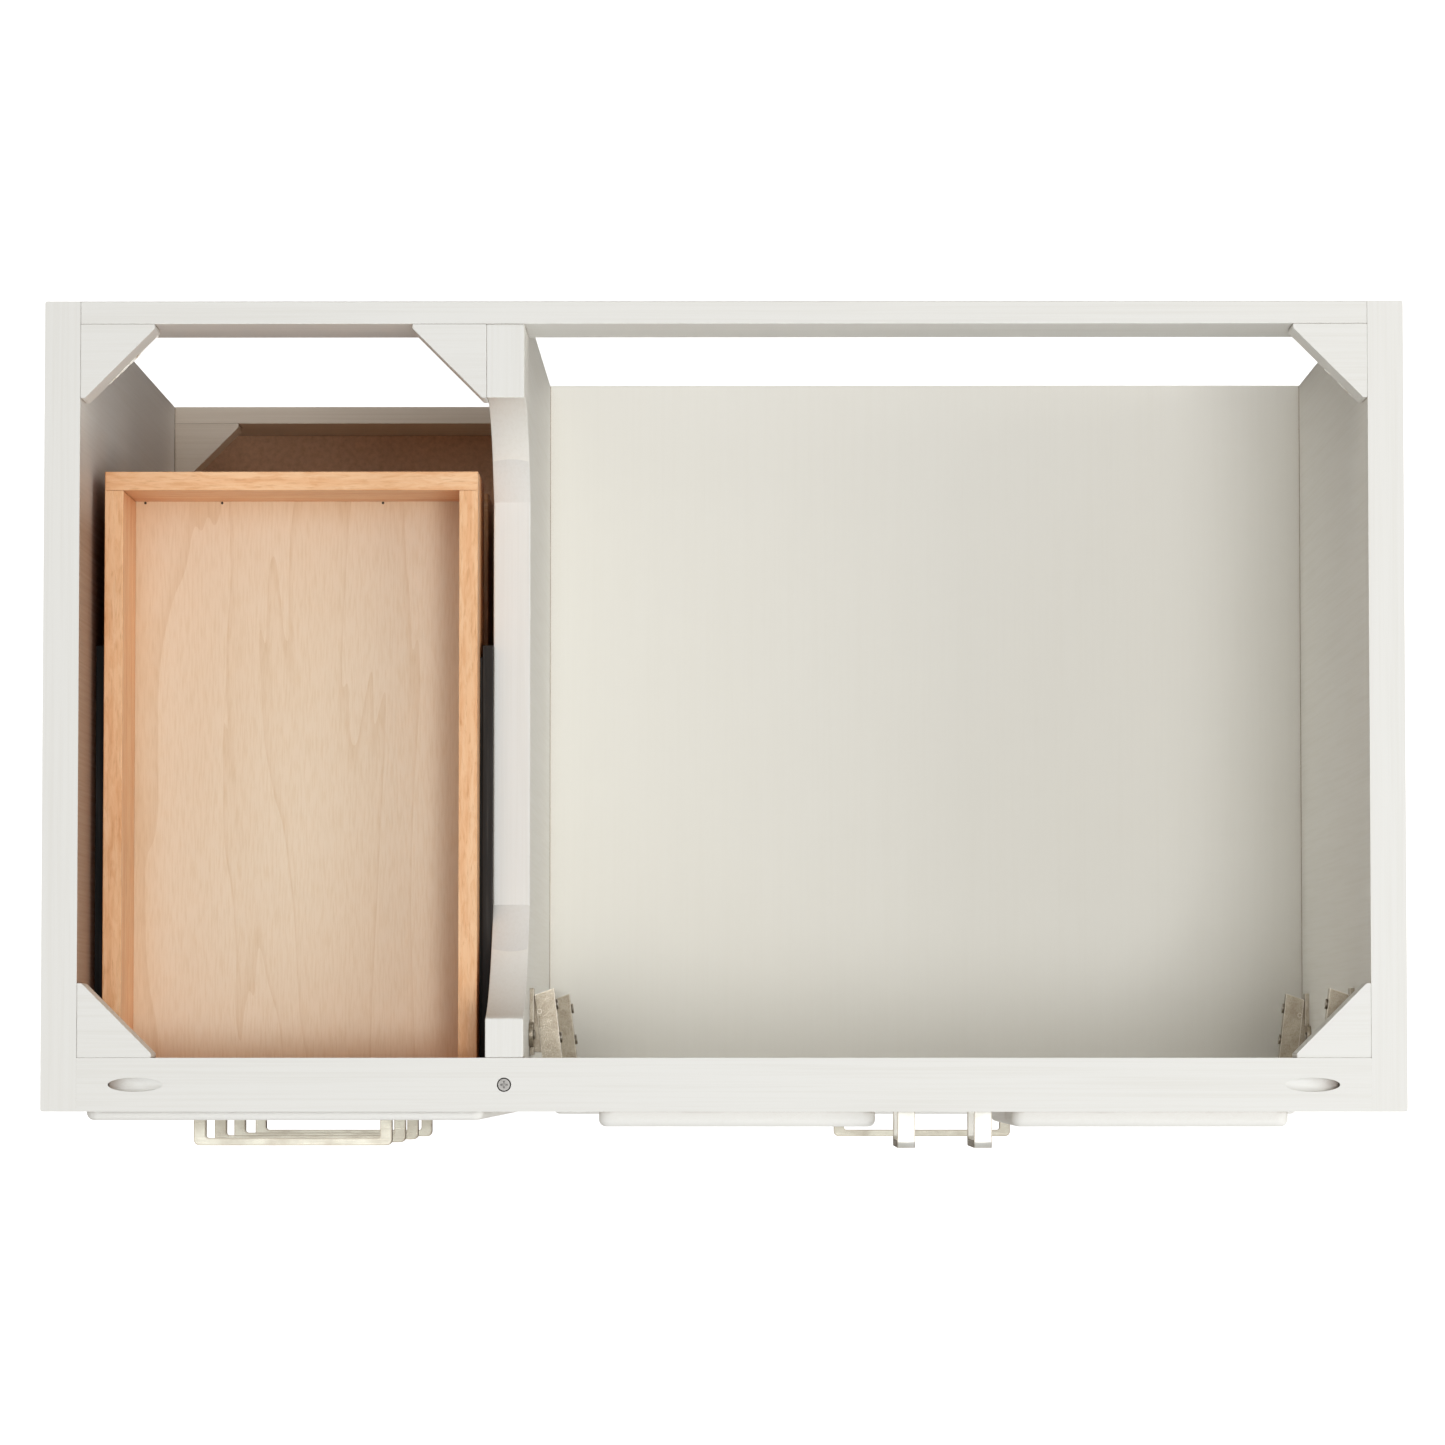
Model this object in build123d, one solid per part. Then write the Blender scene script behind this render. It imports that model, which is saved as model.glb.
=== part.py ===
"""A 36 inch painted vanity base with five drawers on ball-bearing slides and two inset doors.

All sizes are in millimetres. The origin is at the centre of the bounding box on the floor,
+X is to the right as the cabinet is faced, +Y is to the back and +Z is up.
Every piece that comes apart on a bench is its own solid.
"""

from build123d import *
import math
import os

# ---- carcass ----
WIDTH = 914.4
BODY_DEPTH = 545.0
HEIGHT = 851.0
PULL_REACH = 25.0
SIDE_THICK = 24.0
DIVIDER_THICK = 25.5
LEFT_BAY_WIDTH = 273.6

FACE = PULL_REACH - (BODY_DEPTH + PULL_REACH) / 2
BACK = FACE + BODY_DEPTH
INNER_LEFT = SIDE_THICK - WIDTH / 2
INNER_RIGHT = -INNER_LEFT
DIVIDER_LEFT = INNER_LEFT + LEFT_BAY_WIDTH
DIVIDER_RIGHT = DIVIDER_LEFT + DIVIDER_THICK

RAIL_DEPTH = 36.0
RAIL_HEIGHT = 34.0
BACK_RAIL_THICK = 15.4
BACK_RAIL_HEIGHT = 78.0
LOWER_BACK_RAIL_THICK = 13.0
LOWER_BACK_RAIL_TOP = 193.0
FLOOR_TOP = 339.0
FLOOR_THICK = 15.0
BOTTOM_TOP = 100.0
BOTTOM_THICK = 15.0
FRONT_BOARD_THICK = 24.0
LOWER_RAIL_TOP = 113.0
LOWER_RAIL_FOOT = 60.0
BLOCK_LEG = 50.0
BLOCK_TIP = 3.0
GLIDE_HEIGHT = 6.0
GLIDE_RADIUS = 10.0
GLIDE_NAIL_RADIUS = 1.2
GLIDE_NAIL_LENGTH = 14.0
FOOT_DEPTH = 62.0
ARCH_RISE = 48.0
ARCH_RADIUS = 30.0
EDGE_ROUND = 1.5

# ---- the lowered stretch along the divider's top edge ----
SCOOP_DROP = 117.5
SCOOP_BACK = 219.7
SCOOP_FRONT = -197.6
SCOOP_BACK_RUN = 60.0
SCOOP_FRONT_RUN = 79.0

# ---- drawers ----
GAP = 2.0
ROW_GAP = 3.0
FRONT_TOP = HEIGHT - RAIL_HEIGHT - GAP
FRONT_FOOT = LOWER_RAIL_TOP + ROW_GAP
SMALL_FRONT = 158.0
SLIDE_THICK = 9.0
BOX_BACK = 177.0
BOX_BOARD = 12.7
PLY_THICK = 5.0
PLY_RISE = 7.0
GROOVE_DEPTH = 6.0
FRONT_THICK = 18.0
FRONT_SET_BACK = 1.0
MOULD_PROUD = 6.0
MOULD_CORNER = 8.0
MOULD_OUTER_ROUND = 5.0
MOULD_INNER_SLOPE = 35.0
DRAWER_MOULD_INSET = 0.5
DRAWER_MOULD_WIDTH = 26.5
BOX_LIFT = 23.0
SMALL_BOX = 97.0
LARGE_BOX = 150.0

LEFT_BAY = (INNER_LEFT, DIVIDER_LEFT)
RIGHT_BAY = (DIVIDER_RIGHT, INNER_RIGHT)


def small_row(number):
    """The foot and top of one of the small fronts, numbered down from the top."""
    top = FRONT_TOP - number * (SMALL_FRONT + ROW_GAP)
    return top - SMALL_FRONT, top


# drawer name: (bay's left face, bay's right face, front's foot, front's top, box height)
DRAWERS = {
    "drawer_1": (*LEFT_BAY, *small_row(0), SMALL_BOX),
    "drawer_2": (*LEFT_BAY, *small_row(1), SMALL_BOX),
    "drawer_3": (*LEFT_BAY, *small_row(2), SMALL_BOX),
    "drawer_4": (*LEFT_BAY, FRONT_FOOT, small_row(2)[0] - ROW_GAP, LARGE_BOX),
    "drawer_5": (*RIGHT_BAY, FRONT_FOOT, FLOOR_TOP - FLOOR_THICK - ROW_GAP, LARGE_BOX),
}

# ---- drawer slides: two members, 27 mm high, with one cage of balls between them ----
SLIDE_FRONT = FACE + 20.0
SLIDE_LENGTH = 300.0
SLIDE_HALF = 13.5
SHEET = 1.2
OUTER_TIP = 7.0
LIP = 1.0
LIP_DROP = 0.8
INNER_HALF = 9.0
INNER_TIP = 2.5
BALL_RADIUS = 1.6
BALL_SIDE = 4.4
BALL_LEVEL = (SLIDE_HALF - SHEET + INNER_HALF) / 2
BALLS_PER_ROW = 6
BALL_PITCH = 16.0
CAGE_SHEET = 0.6
CAGE_SIDE = 1.5
CAGE_TIP = 5.7
CAGE_FRONT = -138.0
CAGE_LENGTH = 96.0
CAGE_HOLE = 1.7
BUMPER_LENGTH = 8.0
BUMPER_HALF = 7.5
LEVER_FRONT = -175.0
LEVER_LENGTH = 44.0
LEVER_SIDE = 4.0
LEVER_HALF = 2.5
TAB_LENGTH = 14.0
TAB_SIDE = 6.5
TAB_DROP = 6.5
SLIDE_SCREW_HEAD = 3.0
SLIDE_SCREW_SHANK = 1.6
SLIDE_SCREW_LENGTH = 11.0
PAN_HEAD_THICK = 1.4
FRONT_SCREW_BACK = 10.0
MIDDLE_SCREW_SHARE = 0.72
REAR_SCREW_SHARE = 0.9
MEMBER_SCREW_ROWS = (SLIDE_FRONT + 30.0, SLIDE_FRONT + SLIDE_LENGTH - 40.0)

# ---- doors ----
DOOR_FOOT = FLOOR_TOP + ROW_GAP
DOOR_TOP = FRONT_TOP
DOOR_GAP = 3.0
DOOR_THICK = 20.0
DOOR_FRAME = 50.0
DOOR_PANEL = 6.0
DOOR_PANEL_BACK = 6.0
DOOR_MOULD_PROUD = 10.8
DOOR_MOULD_WIDTH = 22.0
DOOR_MOULD_LIP = 4.5
DOOR_EDGE_ROUND = 3.0
DOOR_WIDTH = (INNER_RIGHT - DIVIDER_RIGHT - 2 * DOOR_GAP - GAP) / 2
MEETING = (INNER_RIGHT + DIVIDER_RIGHT) / 2

# ---- concealed hinges, measured (inboard from the jamb, back from the cabinet's face) ----
HINGE_LEVELS = (387.0, 730.0)
PIN_IN = 20.0
PIN_BACK = 11.5
PIN_RADIUS = 1.5
PIN_CLEAR = 0.05
PIN_HALF = 11.0
KNUCKLE_RADIUS = 2.8
CUP_IN = 25.5
CUP_RADIUS = 17.5
CUP_DEPTH = 12.5
CUP_WALL = 0.8
CUP_FLANGE = 1.2
CUP_FLANGE_HALF = 28.0
CUP_FLANGE_CORNER = 6.0
CUP_SCREW_HALF = 22.5
LUG_NEAR = 8.0
LUG_HALF = 3.5
LUG_OVER = 3.0
ARM_HALF = 7.0
ARM_SHEET = 2.0
ARM_SIDE = 1.5
ARM_STAND = 16.7
ARM_LEAN = 0.118
ARM_FRONT = 34.0
ARM_BACK = 84.0
ARM_TAIL_CUT = 4.7
ARM_SCREWS_BACK = (50.0, 73.0)
ARM_SCREW_HEAD = 3.6
ARM_SCREW_HEAD_THICK = 1.6
RIVET_IN = 6.9
RIVET_BACK = 68.0
RIVET_RADIUS = 1.7
RIVET_PROUD = 0.5
NECK_IN = 12.0
NECK_BACK = 31.3
PLATE_THICK = 3.0
PLATE_SPINE = (38.0, 84.0)
PLATE_SPINE_HALF = 8.0
PLATE_WING = (44.0, 60.0)
PLATE_WING_HALF = 26.0
PLATE_CORNER = 7.0
PLATE_SCREW_HALF = 18.0
TONGUE = (40.0, 79.0)
TONGUE_HALF = 5.0
TONGUE_TOP = 9.0

# ---- pulls ----
PULL_LENGTH = 136.0
PULL_CENTRES = 128.0
PULL_WIDTH = 12.0
PULL_BAR = 5.0
PULL_POST = 8.0
PULL_CORNER = 4.0
PULL_INNER_CORNER = 2.0
PULL_SCREW_IN_POST = 9.0
PULL_SCREW_IN_WOOD = 14.0
DOOR_PULL_LEVEL = 725.0
DOOR_PULL_IN = 26.0

# ---- fasteners ----
POCKET_RADIUS = 4.75
POCKET_SLOPE = 15.0
POCKET_START = 375.0
POCKET_LEVEL = 5.0
POCKET_LENGTH = 42.0
POCKET_HEAD = 4.45
POCKET_SCREW_LENGTH = 34.0
SCREW_SHANK = 2.0
SCREW_HEAD = 4.75
SCREW_HEAD_THICK = 2.6
SCREW_SUNK = 0.4
DIVIDER_SCREW_LENGTH = 60.0
HOLE_CLEAR = 0.05
SMALL_HEAD = 3.2
SMALL_HEAD_THICK = 1.2
SMALL_SCREW_LENGTH = 12.0
JAMB_SCREW_LENGTH = 16.0


def save(node, *pieces):
    """Write one node: every solid of the given pieces, side by side."""
    solids = [solid for piece in pieces for solid in piece.solids()]
    export_step(Compound(solids), f"parts/{node}.step")


def block(x, y, z):
    """A rectangular piece from three (low, high) pairs."""
    middle = [(low + high) / 2 for low, high in (x, y, z)]
    size = [high - low for low, high in (x, y, z)]
    return Pos(*middle) * Box(*size)


def plate_x(outline, x0, x1):
    """An outline of (y, z) points carried along X."""
    face = Plane.YZ.offset(x0) * Polygon(*outline, align=None)
    return extrude(face, amount=x1 - x0, dir=(1, 0, 0))


def plate_z(outline, z0, z1):
    """An outline of (x, y) points carried along Z."""
    face = Plane.XY.offset(z0) * Polygon(*outline, align=None)
    return extrude(face, amount=z1 - z0, dir=(0, 0, 1))


def rod(start, direction, radius, length):
    """A round bar from a start point along a direction."""
    return Solid.make_cylinder(radius, length, Plane(start, z_dir=direction))


def rounded(piece, axis, radius, pick=None):
    """The piece with its edges along one axis rounded, or only those that pick chooses."""
    edges = piece.edges().filter_by(axis)
    if pick:
        edges = edges.filter_by(pick)
    return fillet(edges, radius)


def cross_recess(centre, direction, across):
    """The cross-shaped drive recess in a screw head, as a tool to cut with."""
    place = Plane(centre, z_dir=direction)
    arm = Box(across, across / 4, across / 3)
    return place * (arm + Rot(Z=90) * arm)


def screw(head_centre, inward, shank, head, length):
    """A flat-topped cross-head screw, its head's outer face at head_centre."""
    outward = [-value for value in inward]
    body = rod(head_centre, inward, head, SCREW_HEAD_THICK) + rod(head_centre, inward, shank, length)
    return body - cross_recess(head_centre, outward, head)


# ---------------------------------------------------------------- carcass


def side_panel(x0, x1):
    """A full-depth side, arched at the foot so that it stands on two feet."""
    foot = GLIDE_HEIGHT
    arch = foot + ARCH_RISE
    outline = [
        (FACE, foot),
        (FACE + FOOT_DEPTH, foot),
        (FACE + FOOT_DEPTH, arch),
        (BACK - FOOT_DEPTH, arch),
        (BACK - FOOT_DEPTH, foot),
        (BACK, foot),
        (BACK, HEIGHT),
        (FACE, HEIGHT),
    ]
    panel = plate_x(outline, x0, x1)
    panel = rounded(panel, Axis.X, ARCH_RADIUS, lambda edge: abs(edge.center().Z - arch) < 1)
    outer = x0 if x0 < 0 else x1
    return rounded(panel, Axis.Z, EDGE_ROUND, lambda edge: abs(edge.center().X - outer) < 0.1)


def divider():
    """The upright between the bays, notched round the rails and scooped along its top."""
    notch_back = BACK - BACK_RAIL_THICK
    low = HEIGHT - SCOOP_DROP
    foot = BOTTOM_TOP
    top = HEIGHT
    path = [
        Polyline(
            (SCOOP_FRONT, top),
            (FACE + RAIL_DEPTH, top),
            (FACE + RAIL_DEPTH, top - RAIL_HEIGHT),
            (FACE, top - RAIL_HEIGHT),
            (FACE, LOWER_RAIL_TOP),
            (FACE + FRONT_BOARD_THICK, LOWER_RAIL_TOP),
            (FACE + FRONT_BOARD_THICK, foot),
            (BACK - LOWER_BACK_RAIL_THICK, foot),
            (BACK - LOWER_BACK_RAIL_THICK, LOWER_BACK_RAIL_TOP),
            (BACK, LOWER_BACK_RAIL_TOP),
            (BACK, top - BACK_RAIL_HEIGHT),
            (notch_back, top - BACK_RAIL_HEIGHT),
            (notch_back, top),
            (SCOOP_BACK, top),
        ),
        ThreePointArc(
            (SCOOP_BACK, top),
            (SCOOP_BACK - 0.37 * SCOOP_BACK_RUN, top - 0.72 * SCOOP_DROP),
            (SCOOP_BACK - SCOOP_BACK_RUN, low),
        ),
        Line((SCOOP_BACK - SCOOP_BACK_RUN, low), (SCOOP_FRONT + SCOOP_FRONT_RUN, low)),
        ThreePointArc(
            (SCOOP_FRONT + SCOOP_FRONT_RUN, low),
            (SCOOP_FRONT + 0.5 * SCOOP_FRONT_RUN, top - 0.71 * SCOOP_DROP),
            (SCOOP_FRONT, top),
        ),
    ]
    face = Plane.YZ.offset(DIVIDER_LEFT) * make_face(path)
    return extrude(face, amount=DIVIDER_THICK)


def pocket(sign):
    """Where a pocket screw lies in the front rail: the slope's start and its direction."""
    slope = math.radians(POCKET_SLOPE)
    start = (sign * POCKET_START, FACE + RAIL_DEPTH / 2, HEIGHT + POCKET_LEVEL)
    return start, (sign * math.cos(slope), 0, -math.sin(slope))


def front_top_rail():
    """The flat rail across the top of the face, with its two sloped screw pockets."""
    rail = block((INNER_LEFT, INNER_RIGHT), (FACE, FACE + RAIL_DEPTH), (HEIGHT - RAIL_HEIGHT, HEIGHT))
    for sign in (-1, 1):
        start, slope = pocket(sign)
        rail -= rod(start, slope, POCKET_RADIUS, POCKET_LENGTH)
    x, y, head_top = divider_screw_place()
    rail -= rod((x, y, head_top), (0, 0, -1), SCREW_HEAD, SCREW_HEAD_THICK)
    rail -= rod((x, y, head_top), (0, 0, -1), SCREW_SHANK, RAIL_HEIGHT)
    return rail - rod((x, y, HEIGHT), (0, 0, -1), SCREW_HEAD, HEIGHT - head_top)


def divider_screw_place():
    """The top of the screw that holds the front rail down on the divider."""
    return (DIVIDER_LEFT + DIVIDER_RIGHT) / 2, FACE + RAIL_DEPTH / 2, HEIGHT - SCREW_SUNK


def corner_block(x, y, turn_x, turn_y, z_top):
    """A triangular glue block in a corner; the turns say which way its legs run."""
    leg = BLOCK_LEG
    outline = [
        (x, y),
        (x + turn_x * leg, y),
        (x + turn_x * leg, y + turn_y * BLOCK_TIP),
        (x + turn_x * BLOCK_TIP, y + turn_y * leg),
        (x, y + turn_y * leg),
    ]
    return plate_z(outline, z_top - RAIL_HEIGHT, z_top)


def top_corner_blocks():
    """Five blocks: three in the left bay and two on the far right."""
    back = BACK - BACK_RAIL_THICK
    front = FACE + RAIL_DEPTH
    return [
        corner_block(INNER_LEFT, back, 1, -1, HEIGHT),
        corner_block(DIVIDER_LEFT, back, -1, -1, HEIGHT),
        corner_block(INNER_LEFT, front, 1, 1, HEIGHT),
        corner_block(INNER_RIGHT, back, -1, -1, HEIGHT),
        corner_block(INNER_RIGHT, front, -1, 1, HEIGHT),
    ]


def bottom_corner_blocks():
    """Two blocks level with the lower back rail's top edge, one in each outer corner."""
    back = BACK - LOWER_BACK_RAIL_THICK
    corners = [(INNER_LEFT, 1), (INNER_RIGHT, -1)]
    return [corner_block(x, back, turn, -1, LOWER_BACK_RAIL_TOP) for x, turn in corners]


def frame_screws():
    """The screw down into the divider and the two pocket screws out into the sides."""
    down = (0, 0, -1)
    head_radius = SCREW_HEAD - HOLE_CLEAR
    screws = [screw(divider_screw_place(), down, SCREW_SHANK, head_radius, DIVIDER_SCREW_LENGTH)]
    for sign in (-1, 1):
        start, slope = pocket(sign)
        to_head = POCKET_LENGTH - SCREW_HEAD_THICK
        head = tuple(place + to_head * way for place, way in zip(start, slope))
        screws.append(screw(head, slope, SCREW_SHANK, POCKET_HEAD, POCKET_SCREW_LENGTH))
    return screws


def floor_glides():
    """Four nailed-on plastic glides, one under each foot of the sides."""
    glides = []
    for x in (INNER_LEFT - SIDE_THICK / 2, INNER_RIGHT + SIDE_THICK / 2):
        for y in (FACE + FOOT_DEPTH / 2, BACK - FOOT_DEPTH / 2):
            disc = rod((x, y, 0), (0, 0, 1), GLIDE_RADIUS, GLIDE_HEIGHT)
            nail = rod((x, y, GLIDE_HEIGHT), (0, 0, 1), GLIDE_NAIL_RADIUS, GLIDE_NAIL_LENGTH)
            foot = disc.edges().filter_by(lambda edge: edge.center().Z < 0.1)
            glides.append(fillet(foot, EDGE_ROUND) + nail)
    return glides


def build_carcass():
    """Write the fixed frame."""
    floor_y = (FACE + FRONT_BOARD_THICK, BACK - LOWER_BACK_RAIL_THICK)
    across = (INNER_LEFT, INNER_RIGHT)
    save("left_side_panel", side_panel(-WIDTH / 2, INNER_LEFT))
    save("right_side_panel", side_panel(INNER_RIGHT, WIDTH / 2))
    save("divider_panel", divider())
    save("front_top_rail", front_top_rail())
    save(
        "back_top_rail",
        block(across, (BACK - BACK_RAIL_THICK, BACK), (HEIGHT - BACK_RAIL_HEIGHT, HEIGHT)),
    )
    save(
        "front_bottom_rail",
        block(across, (FACE, FACE + FRONT_BOARD_THICK), (LOWER_RAIL_FOOT, LOWER_RAIL_TOP)),
    )
    save(
        "back_bottom_rail",
        block(across, (BACK - LOWER_BACK_RAIL_THICK, BACK), (LOWER_RAIL_FOOT, LOWER_BACK_RAIL_TOP)),
    )
    save("bottom_panel", block(across, floor_y, (BOTTOM_TOP - BOTTOM_THICK, BOTTOM_TOP)))
    save(
        "compartment_floor",
        block((DIVIDER_RIGHT, INNER_RIGHT), (FACE, BACK), (FLOOR_TOP - FLOOR_THICK, FLOOR_TOP)),
    )
    save("top_corner_blocks", *top_corner_blocks())
    save("bottom_corner_blocks", *bottom_corner_blocks())
    save("frame_screws", *frame_screws())
    save("floor_glides", *floor_glides())


# ---------------------------------------------------------------- slides


class SlideSide:
    """One slide's own frame: w runs from the cabinet's face towards the drawer, h up."""

    def __init__(self, face_x, way, level):
        self.face_x = face_x
        self.way = way
        self.level = level

    def point(self, w, y, h):
        """A point in the cabinet's frame."""
        return (self.face_x + self.way * w, y, self.level + h)

    def bar(self, w, y, h):
        """A rectangular bar from three (low, high) pairs."""
        x = sorted(self.face_x + self.way * value for value in w)
        return block(x, y, [self.level + value for value in h])

    def channel(self, web, tips, half, sheet, y):
        """A channel with its web at one side and its two flanges reaching to the tips."""
        low, high = min(web[0], tips), max(web[1], tips)
        flanges = [
            self.bar((low, high), y, (half - sheet, half)),
            self.bar((low, high), y, (-half, sheet - half)),
        ]
        return self.bar(web, y, (-half, half)) + flanges


def slide_sides(drawer):
    """The two slides of a drawer, left and right."""
    x0, x1, foot, _, box_height = DRAWERS[drawer]
    level = foot + BOX_LIFT + box_height / 2
    return SlideSide(x0, 1, level), SlideSide(x1, -1, level)


def slide_screw_rows():
    """Where the outer channel's screws are: clear of the stretch that the ball cage runs along."""
    return (
        SLIDE_FRONT + FRONT_SCREW_BACK,
        SLIDE_FRONT + SLIDE_LENGTH * MIDDLE_SCREW_SHARE,
        SLIDE_FRONT + SLIDE_LENGTH * REAR_SCREW_SHARE,
    )


def cabinet_member(side):
    """The outer channel, lipped to hold the balls in, with its countersunk screw holes."""
    y = (SLIDE_FRONT, SLIDE_FRONT + SLIDE_LENGTH)
    lip_w = (OUTER_TIP - LIP, OUTER_TIP)
    flange_in = SLIDE_HALF - SHEET
    member = side.channel((0, SHEET), OUTER_TIP, SLIDE_HALF, SHEET, y)
    member += side.bar(lip_w, y, (flange_in - LIP_DROP, flange_in))
    member += side.bar(lip_w, y, (-flange_in, LIP_DROP - flange_in))
    for row in slide_screw_rows():
        member -= rod(side.point(0, row, 0), (side.way, 0, 0), SLIDE_SCREW_HEAD + HOLE_CLEAR, SHEET)
    return member


def cabinet_screws(side):
    """Three flat screws through the outer channel's web into the wood behind it."""
    outward = (side.way, 0, 0)
    inward = (-side.way, 0, 0)
    screws = []
    for row in slide_screw_rows():
        start = side.point(SHEET - HOLE_CLEAR, row, 0)
        body = rod(start, inward, SLIDE_SCREW_HEAD, SHEET - HOLE_CLEAR)
        body += rod(start, inward, SLIDE_SCREW_SHANK, SLIDE_SCREW_LENGTH + SHEET)
        screws.append(body - cross_recess(start, outward, SLIDE_SCREW_HEAD))
    return screws


def drawer_member(side):
    """The inner channel on the drawer's side, with oval-headed screws in its web."""
    y = (SLIDE_FRONT, SLIDE_FRONT + SLIDE_LENGTH - BUMPER_LENGTH)
    web = (SLIDE_THICK - SHEET, SLIDE_THICK)
    member = side.channel(web, INNER_TIP, INNER_HALF, SHEET, y)
    for row in MEMBER_SCREW_ROWS:
        member -= rod(side.point(web[0], row, 0), (side.way, 0, 0), SLIDE_SCREW_SHANK, SHEET)
    return member


def drawer_member_screws(side):
    """Two low pan-head screws from the inner channel into the drawer's side."""
    screws = []
    for row in MEMBER_SCREW_ROWS:
        start = side.point(SLIDE_THICK - SHEET - PAN_HEAD_THICK, row, 0)
        body = rod(start, (side.way, 0, 0), SLIDE_SCREW_HEAD, PAN_HEAD_THICK)
        screws.append(body + rod(start, (side.way, 0, 0), SLIDE_SCREW_SHANK, SLIDE_SCREW_LENGTH))
    return screws


def ball_cage(side):
    """The bent strip that keeps the balls apart, holed for a row above and a row below."""
    y = (CAGE_FRONT, CAGE_FRONT + CAGE_LENGTH)
    half = BALL_LEVEL + CAGE_SHEET / 2
    web = (CAGE_SIDE, CAGE_SIDE + CAGE_SHEET)
    cage = side.channel(web, CAGE_TIP, half, CAGE_SHEET, y)
    for row in ball_rows():
        cage -= rod(side.point(BALL_SIDE, row, -half - 1), (0, 0, 1), CAGE_HOLE, 2 * half + 2)
    return cage


def ball_rows():
    """Where the balls stand along the cage."""
    middle = CAGE_FRONT + CAGE_LENGTH / 2
    return [middle + (n - (BALLS_PER_ROW - 1) / 2) * BALL_PITCH for n in range(BALLS_PER_ROW)]


def balls(side):
    """Two rows of steel balls."""
    places = [side.point(BALL_SIDE, row, h) for row in ball_rows() for h in (-BALL_LEVEL, BALL_LEVEL)]
    return [Pos(*place) * Sphere(BALL_RADIUS) for place in places]


def bumper(side):
    """The soft stop at the back of the outer channel."""
    end = SLIDE_FRONT + SLIDE_LENGTH
    return side.bar((SHEET, OUTER_TIP), (end - BUMPER_LENGTH, end), (-BUMPER_HALF, BUMPER_HALF))


def release_lever(side):
    """The lever in the inner channel that frees the drawer, with its thumb tab."""
    y0 = LEVER_FRONT
    y1 = LEVER_FRONT + LEVER_LENGTH
    lever = side.bar((LEVER_SIDE, SLIDE_THICK - SHEET), (y0, y1), (-LEVER_HALF, LEVER_HALF))
    return lever + side.bar((LEVER_SIDE, TAB_SIDE), (y0, y0 + TAB_LENGTH), (-TAB_DROP, LEVER_HALF))


def build_slides():
    """Write the fixed halves of all ten slides, then each drawer's own halves."""
    sides = [side for drawer in DRAWERS for side in slide_sides(drawer)]
    save("slide_cabinet_members", *[cabinet_member(side) for side in sides])
    save("slide_cabinet_screws", *[one for side in sides for one in cabinet_screws(side)])
    save("slide_bumpers", *[bumper(side) for side in sides])
    for drawer in DRAWERS:
        pair = slide_sides(drawer)
        moving = [drawer_member(side) for side in pair]
        moving += [one for side in pair for one in drawer_member_screws(side)]
        save(f"{drawer}_slide_members", *moving)
        cages = [ball_cage(side) for side in pair]
        cages += [ball for side in pair for ball in balls(side)]
        save(f"{drawer}_ball_cages", *cages)
        save(f"{drawer}_release_levers", *[release_lever(side) for side in pair])


# ---------------------------------------------------------------- drawers and doors


def drawer_box(drawer):
    """The open box: the back board caps both sides, and the front board lies between them."""
    x0, x1, foot, _, height = DRAWERS[drawer]
    left, right = x0 + SLIDE_THICK, x1 - SLIDE_THICK
    front = FACE + FRONT_SET_BACK + FRONT_THICK
    joint = BOX_BACK - BOX_BOARD
    z = (foot + BOX_LIFT, foot + BOX_LIFT + height)
    boards = [
        block((left, left + BOX_BOARD), (front, joint), z),
        block((right - BOX_BOARD, right), (front, joint), z),
        block((left + BOX_BOARD, right - BOX_BOARD), (front, front + BOX_BOARD), z),
        block((left, right), (joint, BOX_BACK), z),
    ]
    ply = drawer_bottom(drawer)
    return [board - ply for board in boards]


def drawer_bottom(drawer):
    """The plywood bottom, let into a groove in all four boards."""
    x0, x1, foot, _, _ = DRAWERS[drawer]
    inset = SLIDE_THICK + BOX_BOARD - GROOVE_DEPTH
    front = FACE + FRONT_SET_BACK + FRONT_THICK + BOX_BOARD - GROOVE_DEPTH
    z0 = foot + BOX_LIFT + PLY_RISE
    back = BOX_BACK - BOX_BOARD + GROOVE_DEPTH
    return block((x0 + inset, x1 - inset), (front, back), (z0, z0 + PLY_THICK))


def moulding(x, z, seat, proud, width, lip=0.0):
    """A raised ring, rounded outside and sloping inside, standing forward from its seat.

    With a lip, the ring spreads by that much over the frame round it, in front of the face.
    """
    place = Plane((sum(x) / 2, seat, sum(z) / 2), x_dir=(1, 0, 0), z_dir=(0, -1, 0))
    size = (x[1] - x[0], z[1] - z[0])
    outer = extrude(place * RectangleRounded(*size, MOULD_CORNER), amount=proud)
    if lip:
        spread = [length + 2 * lip for length in size]
        depth = seat - FACE
        rim = place.offset(depth) * RectangleRounded(*spread, MOULD_CORNER)
        cap = extrude(rim, amount=proud - depth)
        outer += fillet(cap.edges().group_by(Axis.Y)[0], MOULD_OUTER_ROUND)
    else:
        outer = fillet(outer.edges().group_by(Axis.Y)[0], MOULD_OUTER_ROUND)
    hole = [length - 2 * width for length in size]
    inner_rim = RectangleRounded(*hole, MOULD_CORNER)
    inner = extrude(place * inner_rim, amount=proud, taper=-MOULD_INNER_SLOPE)
    return outer - inner


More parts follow.
